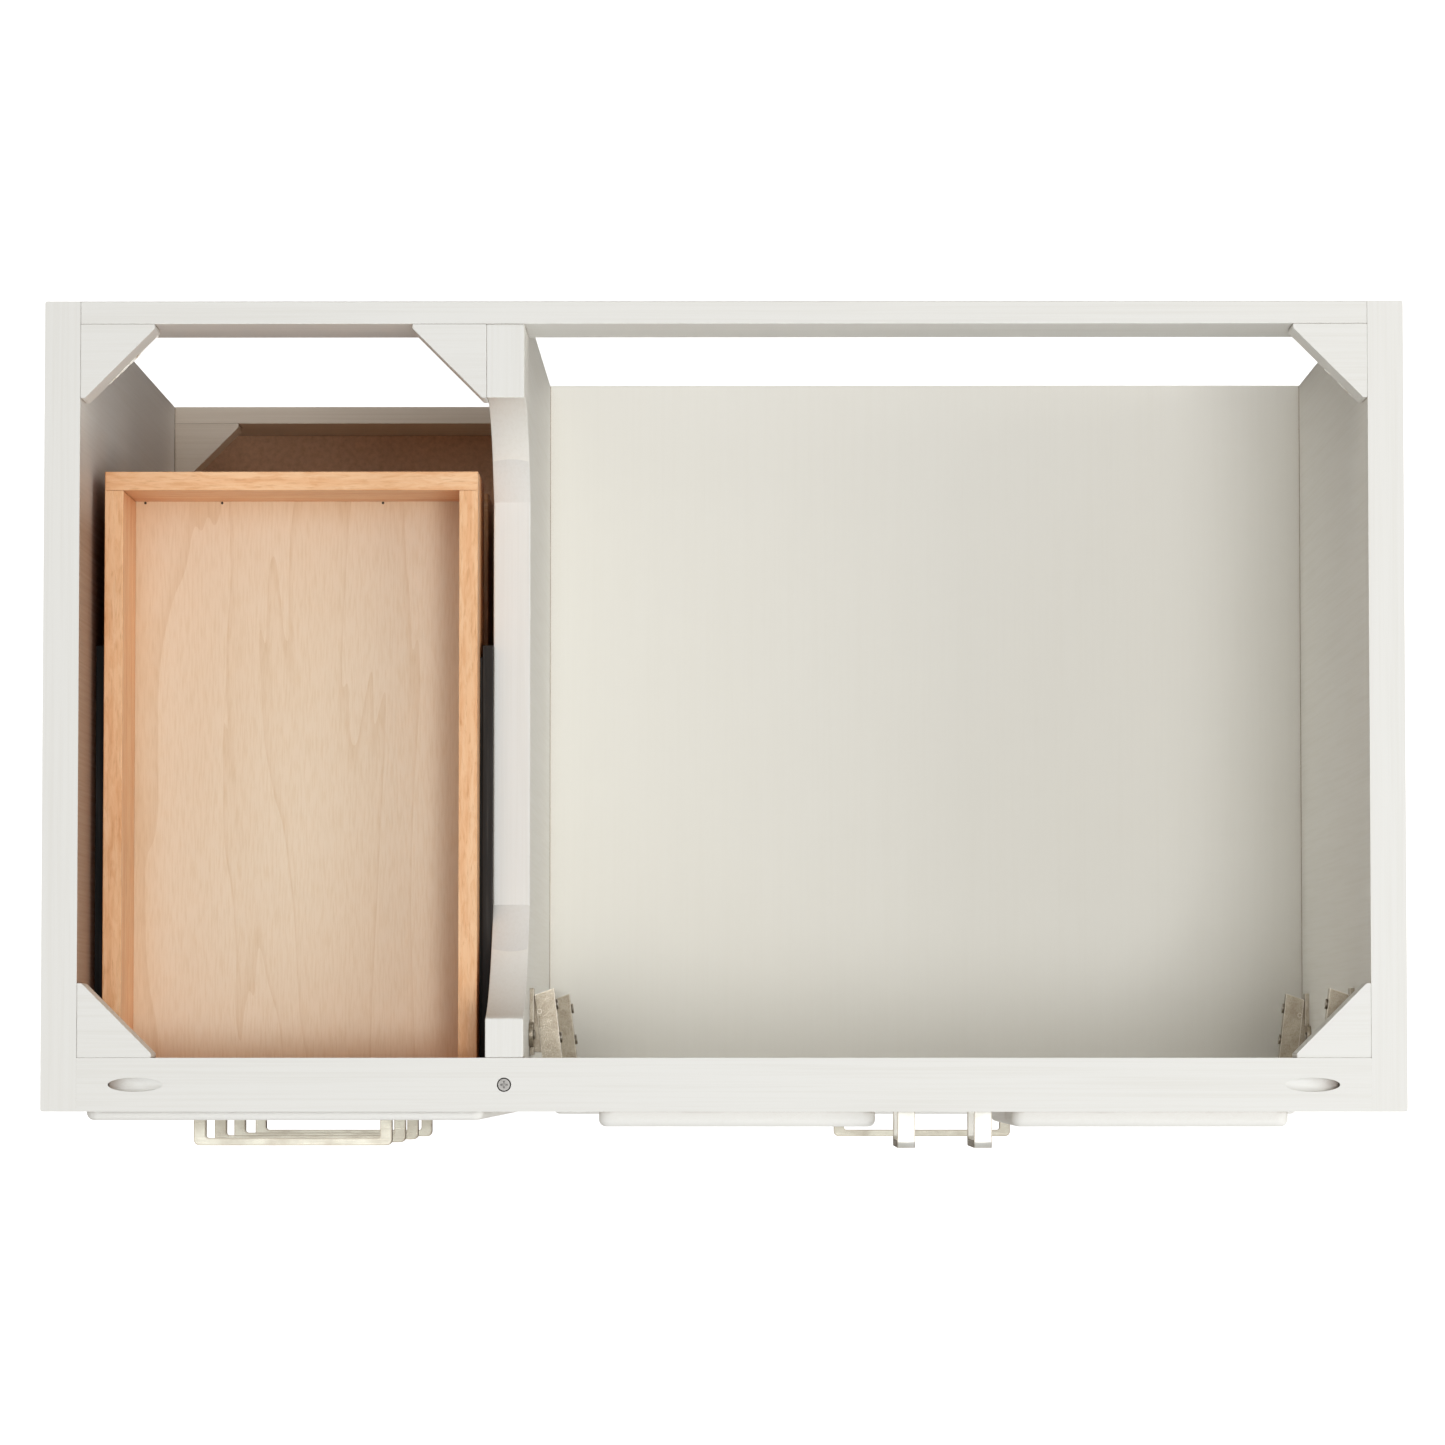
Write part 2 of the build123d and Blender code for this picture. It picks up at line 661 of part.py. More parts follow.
def drawer_front(drawer):
    """The inset front: a slab with a raised moulding round its edge."""
    x0, x1, foot, top, _ = DRAWERS[drawer]
    seat = FACE + FRONT_SET_BACK
    x = (x0 + GAP, x1 - GAP)
    slab = rounded(block(x, (seat, seat + FRONT_THICK), (foot, top)), Axis.Y, EDGE_ROUND)
    inset = DRAWER_MOULD_INSET
    ring_x = (x[0] + inset, x[1] - inset)
    ring_z = (foot + inset, top - inset)
    proud = MOULD_PROUD + FRONT_SET_BACK
    return [slab, moulding(ring_x, ring_z, seat, proud, DRAWER_MOULD_WIDTH)]


def pull(centre, upright):
    """A D-shaped flat-bar pull and its two screws; it stands forward from its centre point."""
    high = PULL_REACH
    half = PULL_LENGTH / 2
    bar = Pos(0, -high / 2, 0) * Box(PULL_LENGTH, high, PULL_WIDTH)
    bar = rounded(bar, Axis.Z, PULL_CORNER, lambda edge: edge.center().Y < -high / 2)
    hand = block(
        (PULL_POST - half, half - PULL_POST),
        (PULL_BAR - high, 0),
        (-PULL_WIDTH / 2, PULL_WIDTH / 2),
    )
    hand = rounded(hand, Axis.Z, PULL_INNER_CORNER, lambda edge: edge.center().Y < -high / 2)
    bar = bar - hand
    screws = []
    for x in (-PULL_CENTRES / 2, PULL_CENTRES / 2):
        tip = (x, -PULL_SCREW_IN_POST, 0)
        bar = bar - rod(tip, (0, 1, 0), SCREW_SHANK, PULL_SCREW_IN_POST)
        length = PULL_SCREW_IN_POST + PULL_SCREW_IN_WOOD
        screws.append(rod(tip, (0, 1, 0), SCREW_SHANK, length))
    turn = Rot(Y=90) if upright else Rot(Y=0)
    return [Pos(*centre) * turn * piece for piece in (bar, *screws)]


def build_drawers():
    """Write every drawer's box, bottom, front and pull."""
    for drawer, (x0, x1, foot, top, _) in DRAWERS.items():
        save(f"{drawer}_box", *drawer_box(drawer))
        save(f"{drawer}_bottom", drawer_bottom(drawer))
        save(f"{drawer}_front", *drawer_front(drawer))
        centre = ((x0 + x1) / 2, FACE + FRONT_SET_BACK, (foot + top) / 2)
        save(f"{drawer}_pull", *pull(centre, False))


def jamb_point(side, inboard, back):
    """A point beside a hinge: side is 1 on the right side panel and -1 on the divider."""
    jamb = INNER_RIGHT if side > 0 else DIVIDER_RIGHT
    return jamb - side * inboard, FACE + back


def jamb_block(side, inboard, back, z):
    """A rectangular piece beside a hinge, from three (low, high) pairs."""
    x0, y0 = jamb_point(side, inboard[0], back[0])
    x1, y1 = jamb_point(side, inboard[1], back[1])
    return block(sorted((x0, x1)), (y0, y1), z)


def door(side):
    """Frame boards, a thin panel held in their grooves and a raised moulding over the joint."""
    z = (DOOR_FOOT, DOOR_TOP)
    depth = (0, DOOR_THICK)
    far = DOOR_GAP + DOOR_WIDTH
    inner = (DOOR_GAP + DOOR_FRAME, far - DOOR_FRAME)
    inner_z = (DOOR_FOOT + DOOR_FRAME, DOOR_TOP - DOOR_FRAME)
    groove = GROOVE_DEPTH
    panel = jamb_block(
        side,
        (inner[0] - groove, inner[1] + groove),
        (DOOR_THICK - DOOR_PANEL_BACK - DOOR_PANEL, DOOR_THICK - DOOR_PANEL_BACK),
        (inner_z[0] - groove, inner_z[1] + groove),
    )
    hinge_stile = jamb_block(side, (DOOR_GAP, inner[0]), depth, z)
    outer_x = jamb_point(side, DOOR_GAP, 0)[0]
    hinge_stile = rounded(
        hinge_stile, Axis.Z, DOOR_EDGE_ROUND, lambda edge: abs(edge.center().X - outer_x) < 0.1
    )
    for level in HINGE_LEVELS:
        hinge_stile -= cup_body(side, level)
    boards = [
        hinge_stile,
        jamb_block(side, (inner[1], far), depth, z),
        jamb_block(side, inner, depth, (DOOR_FOOT, inner_z[0])),
        jamb_block(side, inner, depth, (inner_z[1], DOOR_TOP)),
    ]
    boards = [board - panel for board in boards]
    x = sorted(jamb_point(side, value, 0)[0] for value in inner)
    panel_front = DOOR_THICK - DOOR_PANEL_BACK - DOOR_PANEL
    seat = FACE + panel_front
    proud = DOOR_MOULD_PROUD + panel_front
    ring = moulding(x, inner_z, seat, proud, DOOR_MOULD_WIDTH, DOOR_MOULD_LIP)
    return [*boards, panel, ring]


def cup_body(side, level):
    """The round pocket that a hinge cup fills."""
    x, y = jamb_point(side, CUP_IN, DOOR_THICK - CUP_DEPTH)
    return rod((x, y, level), (0, 1, 0), CUP_RADIUS, CUP_DEPTH)


def hinge_cup(side, level):
    """A drawn cup with its flange, the two lugs that hold the pin, the pin and two screws."""
    x, _ = jamb_point(side, CUP_IN, 0)
    floor = DOOR_THICK - CUP_DEPTH + CUP_WALL
    inner_start = (x, FACE + floor, level)
    well = rod(inner_start, (0, 1, 0), CUP_RADIUS - CUP_WALL, CUP_DEPTH + CUP_FLANGE)
    flange = jamb_block(
        side,
        (CUP_IN - CUP_RADIUS, CUP_IN + CUP_RADIUS),
        (DOOR_THICK, DOOR_THICK + CUP_FLANGE),
        (level - CUP_FLANGE_HALF, level + CUP_FLANGE_HALF),
    )
    flange = rounded(flange, Axis.Y, CUP_FLANGE_CORNER)
    cup = cup_body(side, level) + flange - well
    for low, high in ((LUG_NEAR, PIN_HALF), (-PIN_HALF, -LUG_NEAR)):
        lug_z = (level + low, level + high)
        lug_in = (PIN_IN - LUG_HALF, PIN_IN + LUG_HALF)
        cup += jamb_block(side, lug_in, (floor, PIN_BACK + LUG_OVER), lug_z)
    pin_x, pin_y = jamb_point(side, PIN_IN, PIN_BACK)
    pin = rod((pin_x, pin_y, level - PIN_HALF), (0, 0, 1), PIN_RADIUS, 2 * PIN_HALF)
    screws = []
    forward = (0, -1, 0)
    for z in (level - CUP_SCREW_HALF, level + CUP_SCREW_HALF):
        top = (x, FACE + DOOR_THICK + CUP_FLANGE + SMALL_HEAD_THICK, z)
        cup = cup - rod(top, forward, SLIDE_SCREW_SHANK, SMALL_HEAD_THICK + CUP_FLANGE)
        head = rod(top, forward, SMALL_HEAD, SMALL_HEAD_THICK)
        head += rod(top, forward, SLIDE_SCREW_SHANK, SMALL_SCREW_LENGTH)
        screws.append(head - cross_recess(top, (0, 1, 0), SMALL_HEAD * 0.8))
    return [cup - pin, pin, *screws]


def band(points, width):
    """The outline of a bent strip of even width along a middle line, with mitred corners."""
    sides = ([], [])
    for n, (u, v) in enumerate(points):
        before = points[max(n - 1, 0)]
        after = points[min(n + 1, len(points) - 1)]
        ways = [(u - before[0], v - before[1]), (after[0] - u, after[1] - v)]
        normals = [(-b / math.hypot(a, b), a / math.hypot(a, b)) for a, b in ways if (a, b) != (0, 0)]
        mitre = [sum(normal[k] for normal in normals) / len(normals) for k in (0, 1)]
        square = mitre[0] ** 2 + mitre[1] ** 2
        for outline, sign in zip(sides, (1, -1)):
            reach = sign * width / 2 / square
            outline.append((u + mitre[0] * reach, v + mitre[1] * reach))
    return sides[0] + sides[1][::-1]


def arm_face(back):
    """How far the arm's outer face stands off the jamb: it leans in towards its tail."""
    return ARM_STAND + (ARM_BACK - back) * ARM_LEAN


def arm_screw_place(side, level, back, proud):
    """A point on the axis of one of the arm's screws, and the way the screw points."""
    x, y = jamb_point(side, arm_face(back) + proud, back + proud * ARM_LEAN)
    return (x, y, level), (side, -ARM_LEAN, 0)


def hinge_arm(side, level):
    """A cranked arm: a leaning channel, then a strip round the door's swing to its knuckle."""
    start = ARM_FRONT + 8.0
    turn = ARM_FRONT + 1.0
    strip = [
        (arm_face(start) - ARM_SHEET / 2, start),
        (arm_face(turn) - ARM_SHEET / 2, turn),
        (arm_face(turn) + 1.5, NECK_BACK),
        (PIN_IN + NECK_IN, NECK_BACK),
        (PIN_IN + NECK_IN, PIN_BACK + 10.0),
        (PIN_IN, PIN_BACK),
    ]
    z = (level - ARM_HALF, level + ARM_HALF)
    neck = plate_z([jamb_point(side, u, v) for u, v in band(strip, ARM_SHEET)], *z)
    rise = (ARM_BACK - ARM_FRONT) * ARM_LEAN
    profile = [
        (PLATE_THICK + rise, ARM_FRONT),
        (arm_face(ARM_FRONT), ARM_FRONT),
        (ARM_STAND, ARM_BACK),
        (PLATE_THICK + ARM_TAIL_CUT * ARM_LEAN, ARM_BACK - ARM_TAIL_CUT),
    ]
    hollow = [
        (0, ARM_FRONT),
        (arm_face(ARM_FRONT) - ARM_SHEET, ARM_FRONT),
        (ARM_STAND - ARM_SHEET, ARM_BACK),
        (0, ARM_BACK),
    ]
    hollow_z = (z[0] + ARM_SIDE, z[1] - ARM_SIDE)
    channel = plate_z([jamb_point(side, u, v) for u, v in profile], *z)
    channel -= plate_z([jamb_point(side, u, v) for u, v in hollow], *hollow_z)
    pin_x, pin_y = jamb_point(side, PIN_IN, PIN_BACK)
    knuckle = rod((pin_x, pin_y, z[0]), (0, 0, 1), KNUCKLE_RADIUS, 2 * ARM_HALF)
    bore = rod((pin_x, pin_y, z[0]), (0, 0, 1), PIN_RADIUS + PIN_CLEAR, 2 * ARM_HALF)
    arm = channel + neck + knuckle - bore
    rivet_x, rivet_y = jamb_point(side, RIVET_IN, RIVET_BACK)
    arm += rod((rivet_x, rivet_y, z[1]), (0, 0, 1), RIVET_RADIUS, RIVET_PROUD)
    arm += rod((rivet_x, rivet_y, z[0]), (0, 0, -1), RIVET_RADIUS, RIVET_PROUD)
    for back in ARM_SCREWS_BACK:
        top, inward = arm_screw_place(side, level, back, 1.0)
        arm -= rod(top, inward, SCREW_SHANK, ARM_SHEET + 2.0)
    return arm


def hinge_plate(side, level):
    """The winged plate on the jamb, with the raised tongue that the arm is screwed to."""
    flat = (0, PLATE_THICK)
    wing = jamb_block(side, flat, PLATE_WING, (level - PLATE_WING_HALF, level + PLATE_WING_HALF))
    wing = rounded(wing, Axis.X, PLATE_CORNER)
    spine = jamb_block(side, flat, PLATE_SPINE, (level - PLATE_SPINE_HALF, level + PLATE_SPINE_HALF))
    tongue_z = (level - TONGUE_HALF, level + TONGUE_HALF)
    tongue = jamb_block(side, (PLATE_THICK, TONGUE_TOP), TONGUE, tongue_z)
    plate = wing + spine + tongue
    for z in (level - PLATE_SCREW_HALF, level + PLATE_SCREW_HALF):
        x, y = jamb_point(side, 0, sum(PLATE_WING) / 2)
        plate -= rod((x, y, z), (-side, 0, 0), SLIDE_SCREW_SHANK, PLATE_THICK)
    for back in ARM_SCREWS_BACK:
        top, inward = arm_screw_place(side, level, back, 0)
        plate -= rod(top, inward, SCREW_SHANK, arm_face(back) + 1.0)
    return plate


def hinge_screws(side, level):
    """Two plate screws into the jamb, and the arm's fixing and adjusting screws."""
    screws = []
    for z in (level - PLATE_SCREW_HALF, level + PLATE_SCREW_HALF):
        x, y = jamb_point(side, PLATE_THICK + SMALL_HEAD_THICK, sum(PLATE_WING) / 2)
        head = rod((x, y, z), (side, 0, 0), SMALL_HEAD, SMALL_HEAD_THICK)
        head += rod((x, y, z), (side, 0, 0), SLIDE_SCREW_SHANK, JAMB_SCREW_LENGTH)
        screws.append(head - cross_recess((x, y, z), (-side, 0, 0), SMALL_HEAD * 0.8))
    for back in ARM_SCREWS_BACK:
        top, inward = arm_screw_place(side, level, back, ARM_SCREW_HEAD_THICK)
        outward = [-value for value in inward]
        head = rod(top, inward, ARM_SCREW_HEAD, ARM_SCREW_HEAD_THICK)
        head += rod(top, inward, SCREW_SHANK, arm_face(back) - PLATE_THICK)
        screws.append(head - cross_recess(top, outward, ARM_SCREW_HEAD * 0.8))
    return screws


def build_doors():
    """Write both doors with their pulls and cups, and the hinges' fixed halves."""
    places = [(side, level) for side in (-1, 1) for level in HINGE_LEVELS]
    save("hinge_plates", *[hinge_plate(*place) for place in places])
    save("hinge_arms", *[hinge_arm(*place) for place in places])
    save("hinge_screws", *[one for place in places for one in hinge_screws(*place)])
    for name, side in (("left", -1), ("right", 1)):
        cups = [piece for level in HINGE_LEVELS for piece in hinge_cup(side, level)]
        save(f"{name}_door", *door(side))
        save(f"{name}_hinge_cups", *cups)
        centre = (MEETING + side * DOOR_PULL_IN, FACE, DOOR_PULL_LEVEL)
        save(f"{name}_door_pull", *pull(centre, True))


os.makedirs("parts", exist_ok=True)
build_carcass()
build_slides()
build_drawers()
build_doors()
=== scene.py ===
"""Looks for the painted vanity base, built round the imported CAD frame. All lengths are in metres."""

import math
import random

import bmesh
import bpy
from mathutils import Matrix, Vector


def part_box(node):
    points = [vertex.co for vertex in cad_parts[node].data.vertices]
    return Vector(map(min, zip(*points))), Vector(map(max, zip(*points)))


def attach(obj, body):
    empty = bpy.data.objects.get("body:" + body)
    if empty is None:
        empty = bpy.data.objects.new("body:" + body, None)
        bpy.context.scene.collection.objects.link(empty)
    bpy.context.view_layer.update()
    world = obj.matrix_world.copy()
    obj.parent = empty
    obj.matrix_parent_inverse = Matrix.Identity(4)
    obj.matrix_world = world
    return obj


MM = 0.001
SEED = 7
CREVICE_SAMPLES = 6
AXIS_X, AXIS_Y, AXIS_Z = range(3)

# Sizes of the CAD that the small pieces are laid out from.
BOX_BOARD = 12.7 * MM
BLOCK_LEG = 50.0 * MM
BLOCK_TIP = 3.0 * MM
SCREW_HEAD = 4.75 * MM
SCREW_SUNK = 0.4 * MM

# The paint: the noise scale of its streaks along and across the grain, the least upward part of the
# normal of a face that looks up, and how far the painted brown shade wanders and fades about its corner.
STREAK_ALONG = 6.0
STREAK_ACROSS = 520.0
UP_LIMIT = 0.7
BAY_SHADE_WANDER = 50.0 * MM
BAY_SHADE_BEFORE = 20.0 * MM
BAY_SHADE_PAST = 60.0 * MM

# The small pieces. A bead is its start and end along the block's long face, from 0 to 1, and its radius.
PUTTY_LEFT = [(0.22, 0.72, 1.1 * MM), (0.02, 0.05, 0.9 * MM)]
PUTTY_RIGHT = [(0.50, 0.60, 0.7 * MM), (0.70, 0.92, 0.6 * MM)]
PUTTY_UP = 3.0 * MM
PUTTY_OUT = 0.2 * MM
BRAD_SHARES = (0.075, 0.285, 0.725)
BRAD_RADIUS = 0.95 * MM
BRAD_HEIGHT = 0.35 * MM
BRAD_GAP = 1.0 * MM
RING_WIDTH = 0.75 * MM
RING_GAP = 0.02 * MM
RING_HEIGHT = 0.30 * MM

# How far the edges of each kind of CAD piece are eased.
EASE_PANEL = 0.9 * MM
EASE_RAIL = 0.6 * MM
EASE_FLOOR = 0.5 * MM
EASE_BOARD = 0.4 * MM
EASE_FRONT = 1.0 * MM
EASE_BOX = 0.7 * MM
EASE_PLY = 0.2 * MM
EASE_PULL = 1.1 * MM
EASE_SLIDE = 0.25 * MM
EASE_LEVER = 0.4 * MM
EASE_BUMPER = 0.6 * MM
EASE_STAMPED = 0.35 * MM
EASE_CUP = 0.3 * MM
EASE_FRAME_SCREW = 0.25 * MM
EASE_SCREW = 0.15 * MM
EASE_ANGLE = math.radians(38)
PULL_SEGMENTS = 3
WELD_REACH = 0.002 * MM

DRAWERS = [f"drawer_{number}" for number in range(1, 6)]
DOORS = ["left_door", "right_door"]

# Linear base colours, as albedo, and tints that multiply them.
WHITE = (1.0, 1.0, 1.0)
PAINT = (0.888, 0.886, 0.862)
PAINT_WARM = (0.872, 0.860, 0.822)
PUTTY = (0.780, 0.740, 0.660)
PUTTY_CRACK = (0.42, 0.33, 0.25)
# Painted shade: the brown laid on the left bay's wall beside the drawers.
LEFT_BAY_PAINTED_SHADE = (0.430, 0.290, 0.220)
THIN_COAT = (0.860, 0.775, 0.690)
# Seam colours: darkening in seams and inner corners, partly dirt and partly painted shade.
SEAM_DIRT_AND_SHADE = (0.340, 0.260, 0.190)
FAINT_SEAM_DIRT_AND_SHADE = (0.860, 0.825, 0.770)
# Painted light: a dimming tint for open faces, and lightening tints for walls and the bay floor.
OPEN_FACE_PAINTED_SHADE = (0.945, 0.948, 0.948)
WALL_PAINTED_LIGHT = (1.050, 1.045, 1.025)
BAY_FLOOR_PAINTED_LIGHT = (1.060, 1.050, 1.015)
SIDE_WOOD_PALE = (0.915, 0.570, 0.325)
SIDE_WOOD_DEEP = (0.825, 0.440, 0.215)
SIDE_WOOD_LIGHT = (0.940, 0.645, 0.410)
PLY_PALE = (0.845, 0.720, 0.560)
PLY_DEEP = (0.760, 0.535, 0.340)
PLY_LINE = (0.89, 0.83, 0.75)
PLY_LINE_EDGE = (0.975, 0.960, 0.940)
PLY_RINGS = 9.0
PULL_NICKEL = (0.740, 0.715, 0.610)
# Painted highlight: a brighter copy of the pull nickel for the upright pulls.
PULL_NICKEL_PAINTED_BRIGHT = (0.950, 0.935, 0.880)
# Painted reflection: the dark colour laid on the pulls' outer edges.
PULL_EDGE_PAINTED_REFLECTION = (0.400, 0.330, 0.250)
NICKEL = (0.620, 0.570, 0.470)
NICKEL_DARK = (0.380, 0.315, 0.240)
NICKEL_MEAN = (0.485, 0.430, 0.345)
# Painted highlight along the hinge nickel's outer edges.
NICKEL_EDGE_PAINTED_HIGHLIGHT = (0.860, 0.800, 0.700)
BARE_BOARD = (0.820, 0.520, 0.340)
ZINC = (0.520, 0.465, 0.390)
ZINC_DARK = (0.40, 0.39, 0.37)
WORN_SCREW = (0.42, 0.41, 0.39)
WORN_SCREW_DARK = (0.16, 0.15, 0.14)
BRAD = (0.10, 0.09, 0.08)
BRAD_DARK = (0.05, 0.04, 0.035)
# Painted shadow: the near-black ring in the gap round the front rail's screw.
SCREW_GAP_PAINTED_SHADOW = (0.050, 0.045, 0.040)
SCREW_GAP_PAINTED_SHADOW_DARK = (0.022, 0.019, 0.016)
STEEL = (0.580, 0.580, 0.590)
STEEL_DARK = (0.45, 0.45, 0.46)
BLACK = (0.010, 0.0085, 0.0075)
BLACK_RUBBED = (0.040, 0.037, 0.034)
PLASTIC = (0.016, 0.016, 0.017)
PLASTIC_PALE = (0.030, 0.030, 0.032)
SWEEP_LOW = (0.44, 0.44, 0.44)
SWEEP_HIGH = (0.46, 0.46, 0.46)

# The world brightens along the larger of two directions, through four colours.
WORLD_UP = (0.0, -0.24, 0.97)
WORLD_FRONT = (0.0, -0.75, 0.0)
WORLD_LOW = (0.060, 0.036, 0.024)
WORLD_SIDE = (0.640, 0.545, 0.430)
WORLD_HIGH = (0.965, 0.970, 0.965)
WORLD_TOP = (0.985, 0.993, 1.0)
WORLD_STOPS = [(0.0, WORLD_LOW), (0.30, WORLD_SIDE), (0.72, WORLD_HIGH), (1.0, WORLD_TOP)]
WORLD_STRENGTH = 0.62

# Lamps: places and targets in metres, powers in watts.
LAMP_TARGET = (0.0, 0.0, 0.6)
KEY_PLACE = (0.77, -0.50, 5.10)
KEY_SIZE = 0.9
KEY_POWER = 66.0
KEY_COLOUR = (0.985, 0.995, 1.0)
SIDE_PLACE = (3.2, -0.2, 4.3)
SIDE_SIZE = 2.0
SIDE_POWER = 37.0
SIDE_COLOUR = (1.0, 0.99, 0.97)
LOW_FILLS = {
    "low_fill_right": ((3.6, -2.6, 0.75), 40.0),
    "low_fill_back": ((1.2, 4.0, 0.30), 16.0),
    "low_fill_left": ((-4.0, -0.5, 0.30), 12.0),
}
LOW_TARGET = (0.0, 0.0, 0.45)
LOW_SIZE = 1.2
LOW_COLOUR = (1.0, 0.995, 0.985)
SHINE_PLACE = (0.0, -0.2, 5.6)
SHINE_SIZE = 2.0
SHINE_POWER = 19.0
SWEEP_HALF = 30.0

CAMERA_PLACE = Vector((0.0225, -0.2271, 4.9000))
CAMERA_TARGET = Vector((-0.0007, 0.0006, 0.8510))
CAMERA_LENS = 150.6
SENSOR = 36.0
CLIP_NEAR = 0.05
CLIP_FAR = 200.0

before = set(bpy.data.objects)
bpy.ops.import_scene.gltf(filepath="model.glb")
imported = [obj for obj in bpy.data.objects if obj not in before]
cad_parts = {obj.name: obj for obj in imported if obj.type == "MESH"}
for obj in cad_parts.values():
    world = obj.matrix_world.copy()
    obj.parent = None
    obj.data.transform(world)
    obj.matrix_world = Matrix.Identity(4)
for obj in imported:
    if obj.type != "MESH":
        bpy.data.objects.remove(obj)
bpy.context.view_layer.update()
draw = random.Random(SEED)


# ---------------------------------------------------------------- node helpers


def fill_ramp(ramp, stops):
    """Give a colour ramp its (position, colour) stops."""
    while len(ramp.elements) < len(stops):
        ramp.elements.new(0.5)
    for element, (position, colour) in zip(ramp.elements, stops):
        element.position = position
        element.color = (*colour, 1.0)


class Tree:
    """A material's node tree, with short calls to add and join nodes."""

    def __init__(self, name):
        self.material = bpy.data.materials.new(name)
        self.material.use_nodes = True
        self.nodes = self.material.node_tree.nodes
        self.links = self.material.node_tree.links
        self.shader = self.nodes["Principled BSDF"]
        coordinates = self.add("ShaderNodeTexCoord")
        self.place = coordinates.outputs["Object"]
        self.facing = coordinates.outputs["Normal"]

    def add(self, kind, settings=None, **inputs):
        """A node of that kind with its settings and its inputs, given by name, set or joined."""
        node = self.nodes.new(kind)
        for key, value in (settings or {}).items():
            setattr(node, key, value)
        for key, value in inputs.items():
            self.set(node.inputs[key.replace("_", " ")], value)
        return node

    def set(self, socket, value):
        """Join an output to the socket, or set its value."""
        if isinstance(value, bpy.types.NodeSocket):
            self.links.new(value, socket)
        elif isinstance(value, tuple) and len(value) == 3 and socket.type == "RGBA":
            socket.default_value = (*value, 1.0)
        else:
            socket.default_value = value

    def stretch(self, scale, source=None):
        """The source, or else the object coordinates, scaled along each axis."""
        node = self.add("ShaderNodeMapping", None, Vector=source or self.place, Scale=scale)
        return node.outputs["Vector"]

    def noise(self, vector, scale=1.0, detail=4.0, rough=0.55, distort=0.0):
        """Noise between 0 and 1."""
        inputs = {"Vector": vector, "Scale": scale, "Detail": detail, "Roughness": rough}
        node = self.add("ShaderNodeTexNoise", None, **inputs, Distortion=distort)
        return node.outputs["Fac"]

    def ramp(self, value, stops):
        """A colour ramp through (position, colour) stops."""
        node = self.add("ShaderNodeValToRGB", None, Fac=value)
        fill_ramp(node.color_ramp, stops)
        return node.outputs["Color"]

    def span(self, value, low, high, from_low=0.0, from_high=1.0):
        """The value carried from one range to another."""
        node = self.add("ShaderNodeMapRange", None, Value=value)
        node.inputs["From Min"].default_value = from_low
        node.inputs["From Max"].default_value = from_high
        node.inputs["To Min"].default_value = low
        node.inputs["To Max"].default_value = high
        return node.outputs["Result"]

    def math(self, operation, first, second):
        """One arithmetic step."""
        node = self.nodes.new("ShaderNodeMath")
        node.operation = operation
        self.set(node.inputs[0], first)
        self.set(node.inputs[1], second)
        return node.outputs[0]

    def over(self, value, limit):
        """1 above the limit and 0 below it."""
        return self.math("GREATER_THAN", value, limit)

    def under(self, value, limit):
        """1 below the limit and 0 above it."""
        return self.math("LESS_THAN", value, limit)

    def parts(self, vector):
        """The three outputs of a vector, named X, Y and Z."""
        return self.add("ShaderNodeSeparateXYZ", None, Vector=vector).outputs

    def mix(self, factor, first, second, blend="MIX", kind="RGBA"):
        """Two colours mixed, or two vectors where the kind is VECTOR."""
        node = self.nodes.new("ShaderNodeMix")
        node.data_type = kind
        node.blend_type = blend
        self.set(node.inputs["Factor"], factor)
        self.set(node.inputs["A"], first)
        self.set(node.inputs["B"], second)
        return node.outputs["Result"]

    def tint(self, colour, shade, amount=1.0):
        """The colour multiplied by a shade, by that amount."""
        return self.mix(amount, colour, shade, "MULTIPLY")

    def bump(self, height, depth):
        """A normal from a height between 0 and 1, of that depth in metres."""
        node = self.add("ShaderNodeBump", None, Height=height, Distance=depth, Strength=1.0)
        return node.outputs["Normal"]

    def crevice(self, reach):
        """1 in the open, falling towards 0 in seams and inner corners."""
        node = self.add("ShaderNodeAmbientOcclusion", {"samples": CREVICE_SAMPLES}, Distance=reach)
        return node.outputs["AO"]

    def edges(self, width):
        """0 on broad faces, rising to 1 at outer edges, within that width of them."""
        settings = {"samples": CREVICE_SAMPLES, "inside": True}
        node = self.add("ShaderNodeAmbientOcclusion", settings, Distance=width)
        return self.span(node.outputs["AO"], 1.0, 0.0, 0.55, 0.90)

    def shade(self, colour, reach, dark, clear=0.8):
        """The colour with painted shade: a dark tint where walls stand close round the point."""
        return self.tint(colour, self.ramp(self.crevice(reach), [(0.0, dark), (clear, WHITE)]))

    def finish(self, **inputs):
        """Set the shader's inputs and return the material."""
        for key, value in inputs.items():
            self.set(self.shader.inputs[key.replace("_", " ")], value)
        return self.material


def grain_scale(axis, along, across):
    """A mapping scale that is fine across the grain and long along its axis."""
    return tuple(along if index == axis else across for index in range(3))


# ---------------------------------------------------------------- materials


def looks_up(tree):
    """1 on faces that look up."""
    normal = tree.add("ShaderNodeNewGeometry").outputs["Normal"]
    return tree.over(tree.parts(normal)["Z"], UP_LIMIT)


def bay_painted_shade(tree, colour, drift, corner):
    """The colour with painted brown shade on faces that look to the right, in front of and above a
    corner.
    """
    place = tree.parts(tree.place)
    wandered_y = tree.math("ADD", place["Y"], tree.math("MULTIPLY", drift, BAY_SHADE_WANDER))
    ahead = tree.span(wandered_y, 1.0, 0.0, corner.y - BAY_SHADE_BEFORE, corner.y + BAY_SHADE_PAST)
    to_right = tree.span(tree.parts(tree.facing)["X"], 0.0, 1.0, 0.6, 0.9)
    inside = tree.math("MULTIPLY", to_right, tree.over(place["Z"], corner.z))
    return tree.mix(tree.math("MULTIPLY", inside, ahead), colour, tree.tint(colour, LEFT_BAY_PAINTED_SHADE))


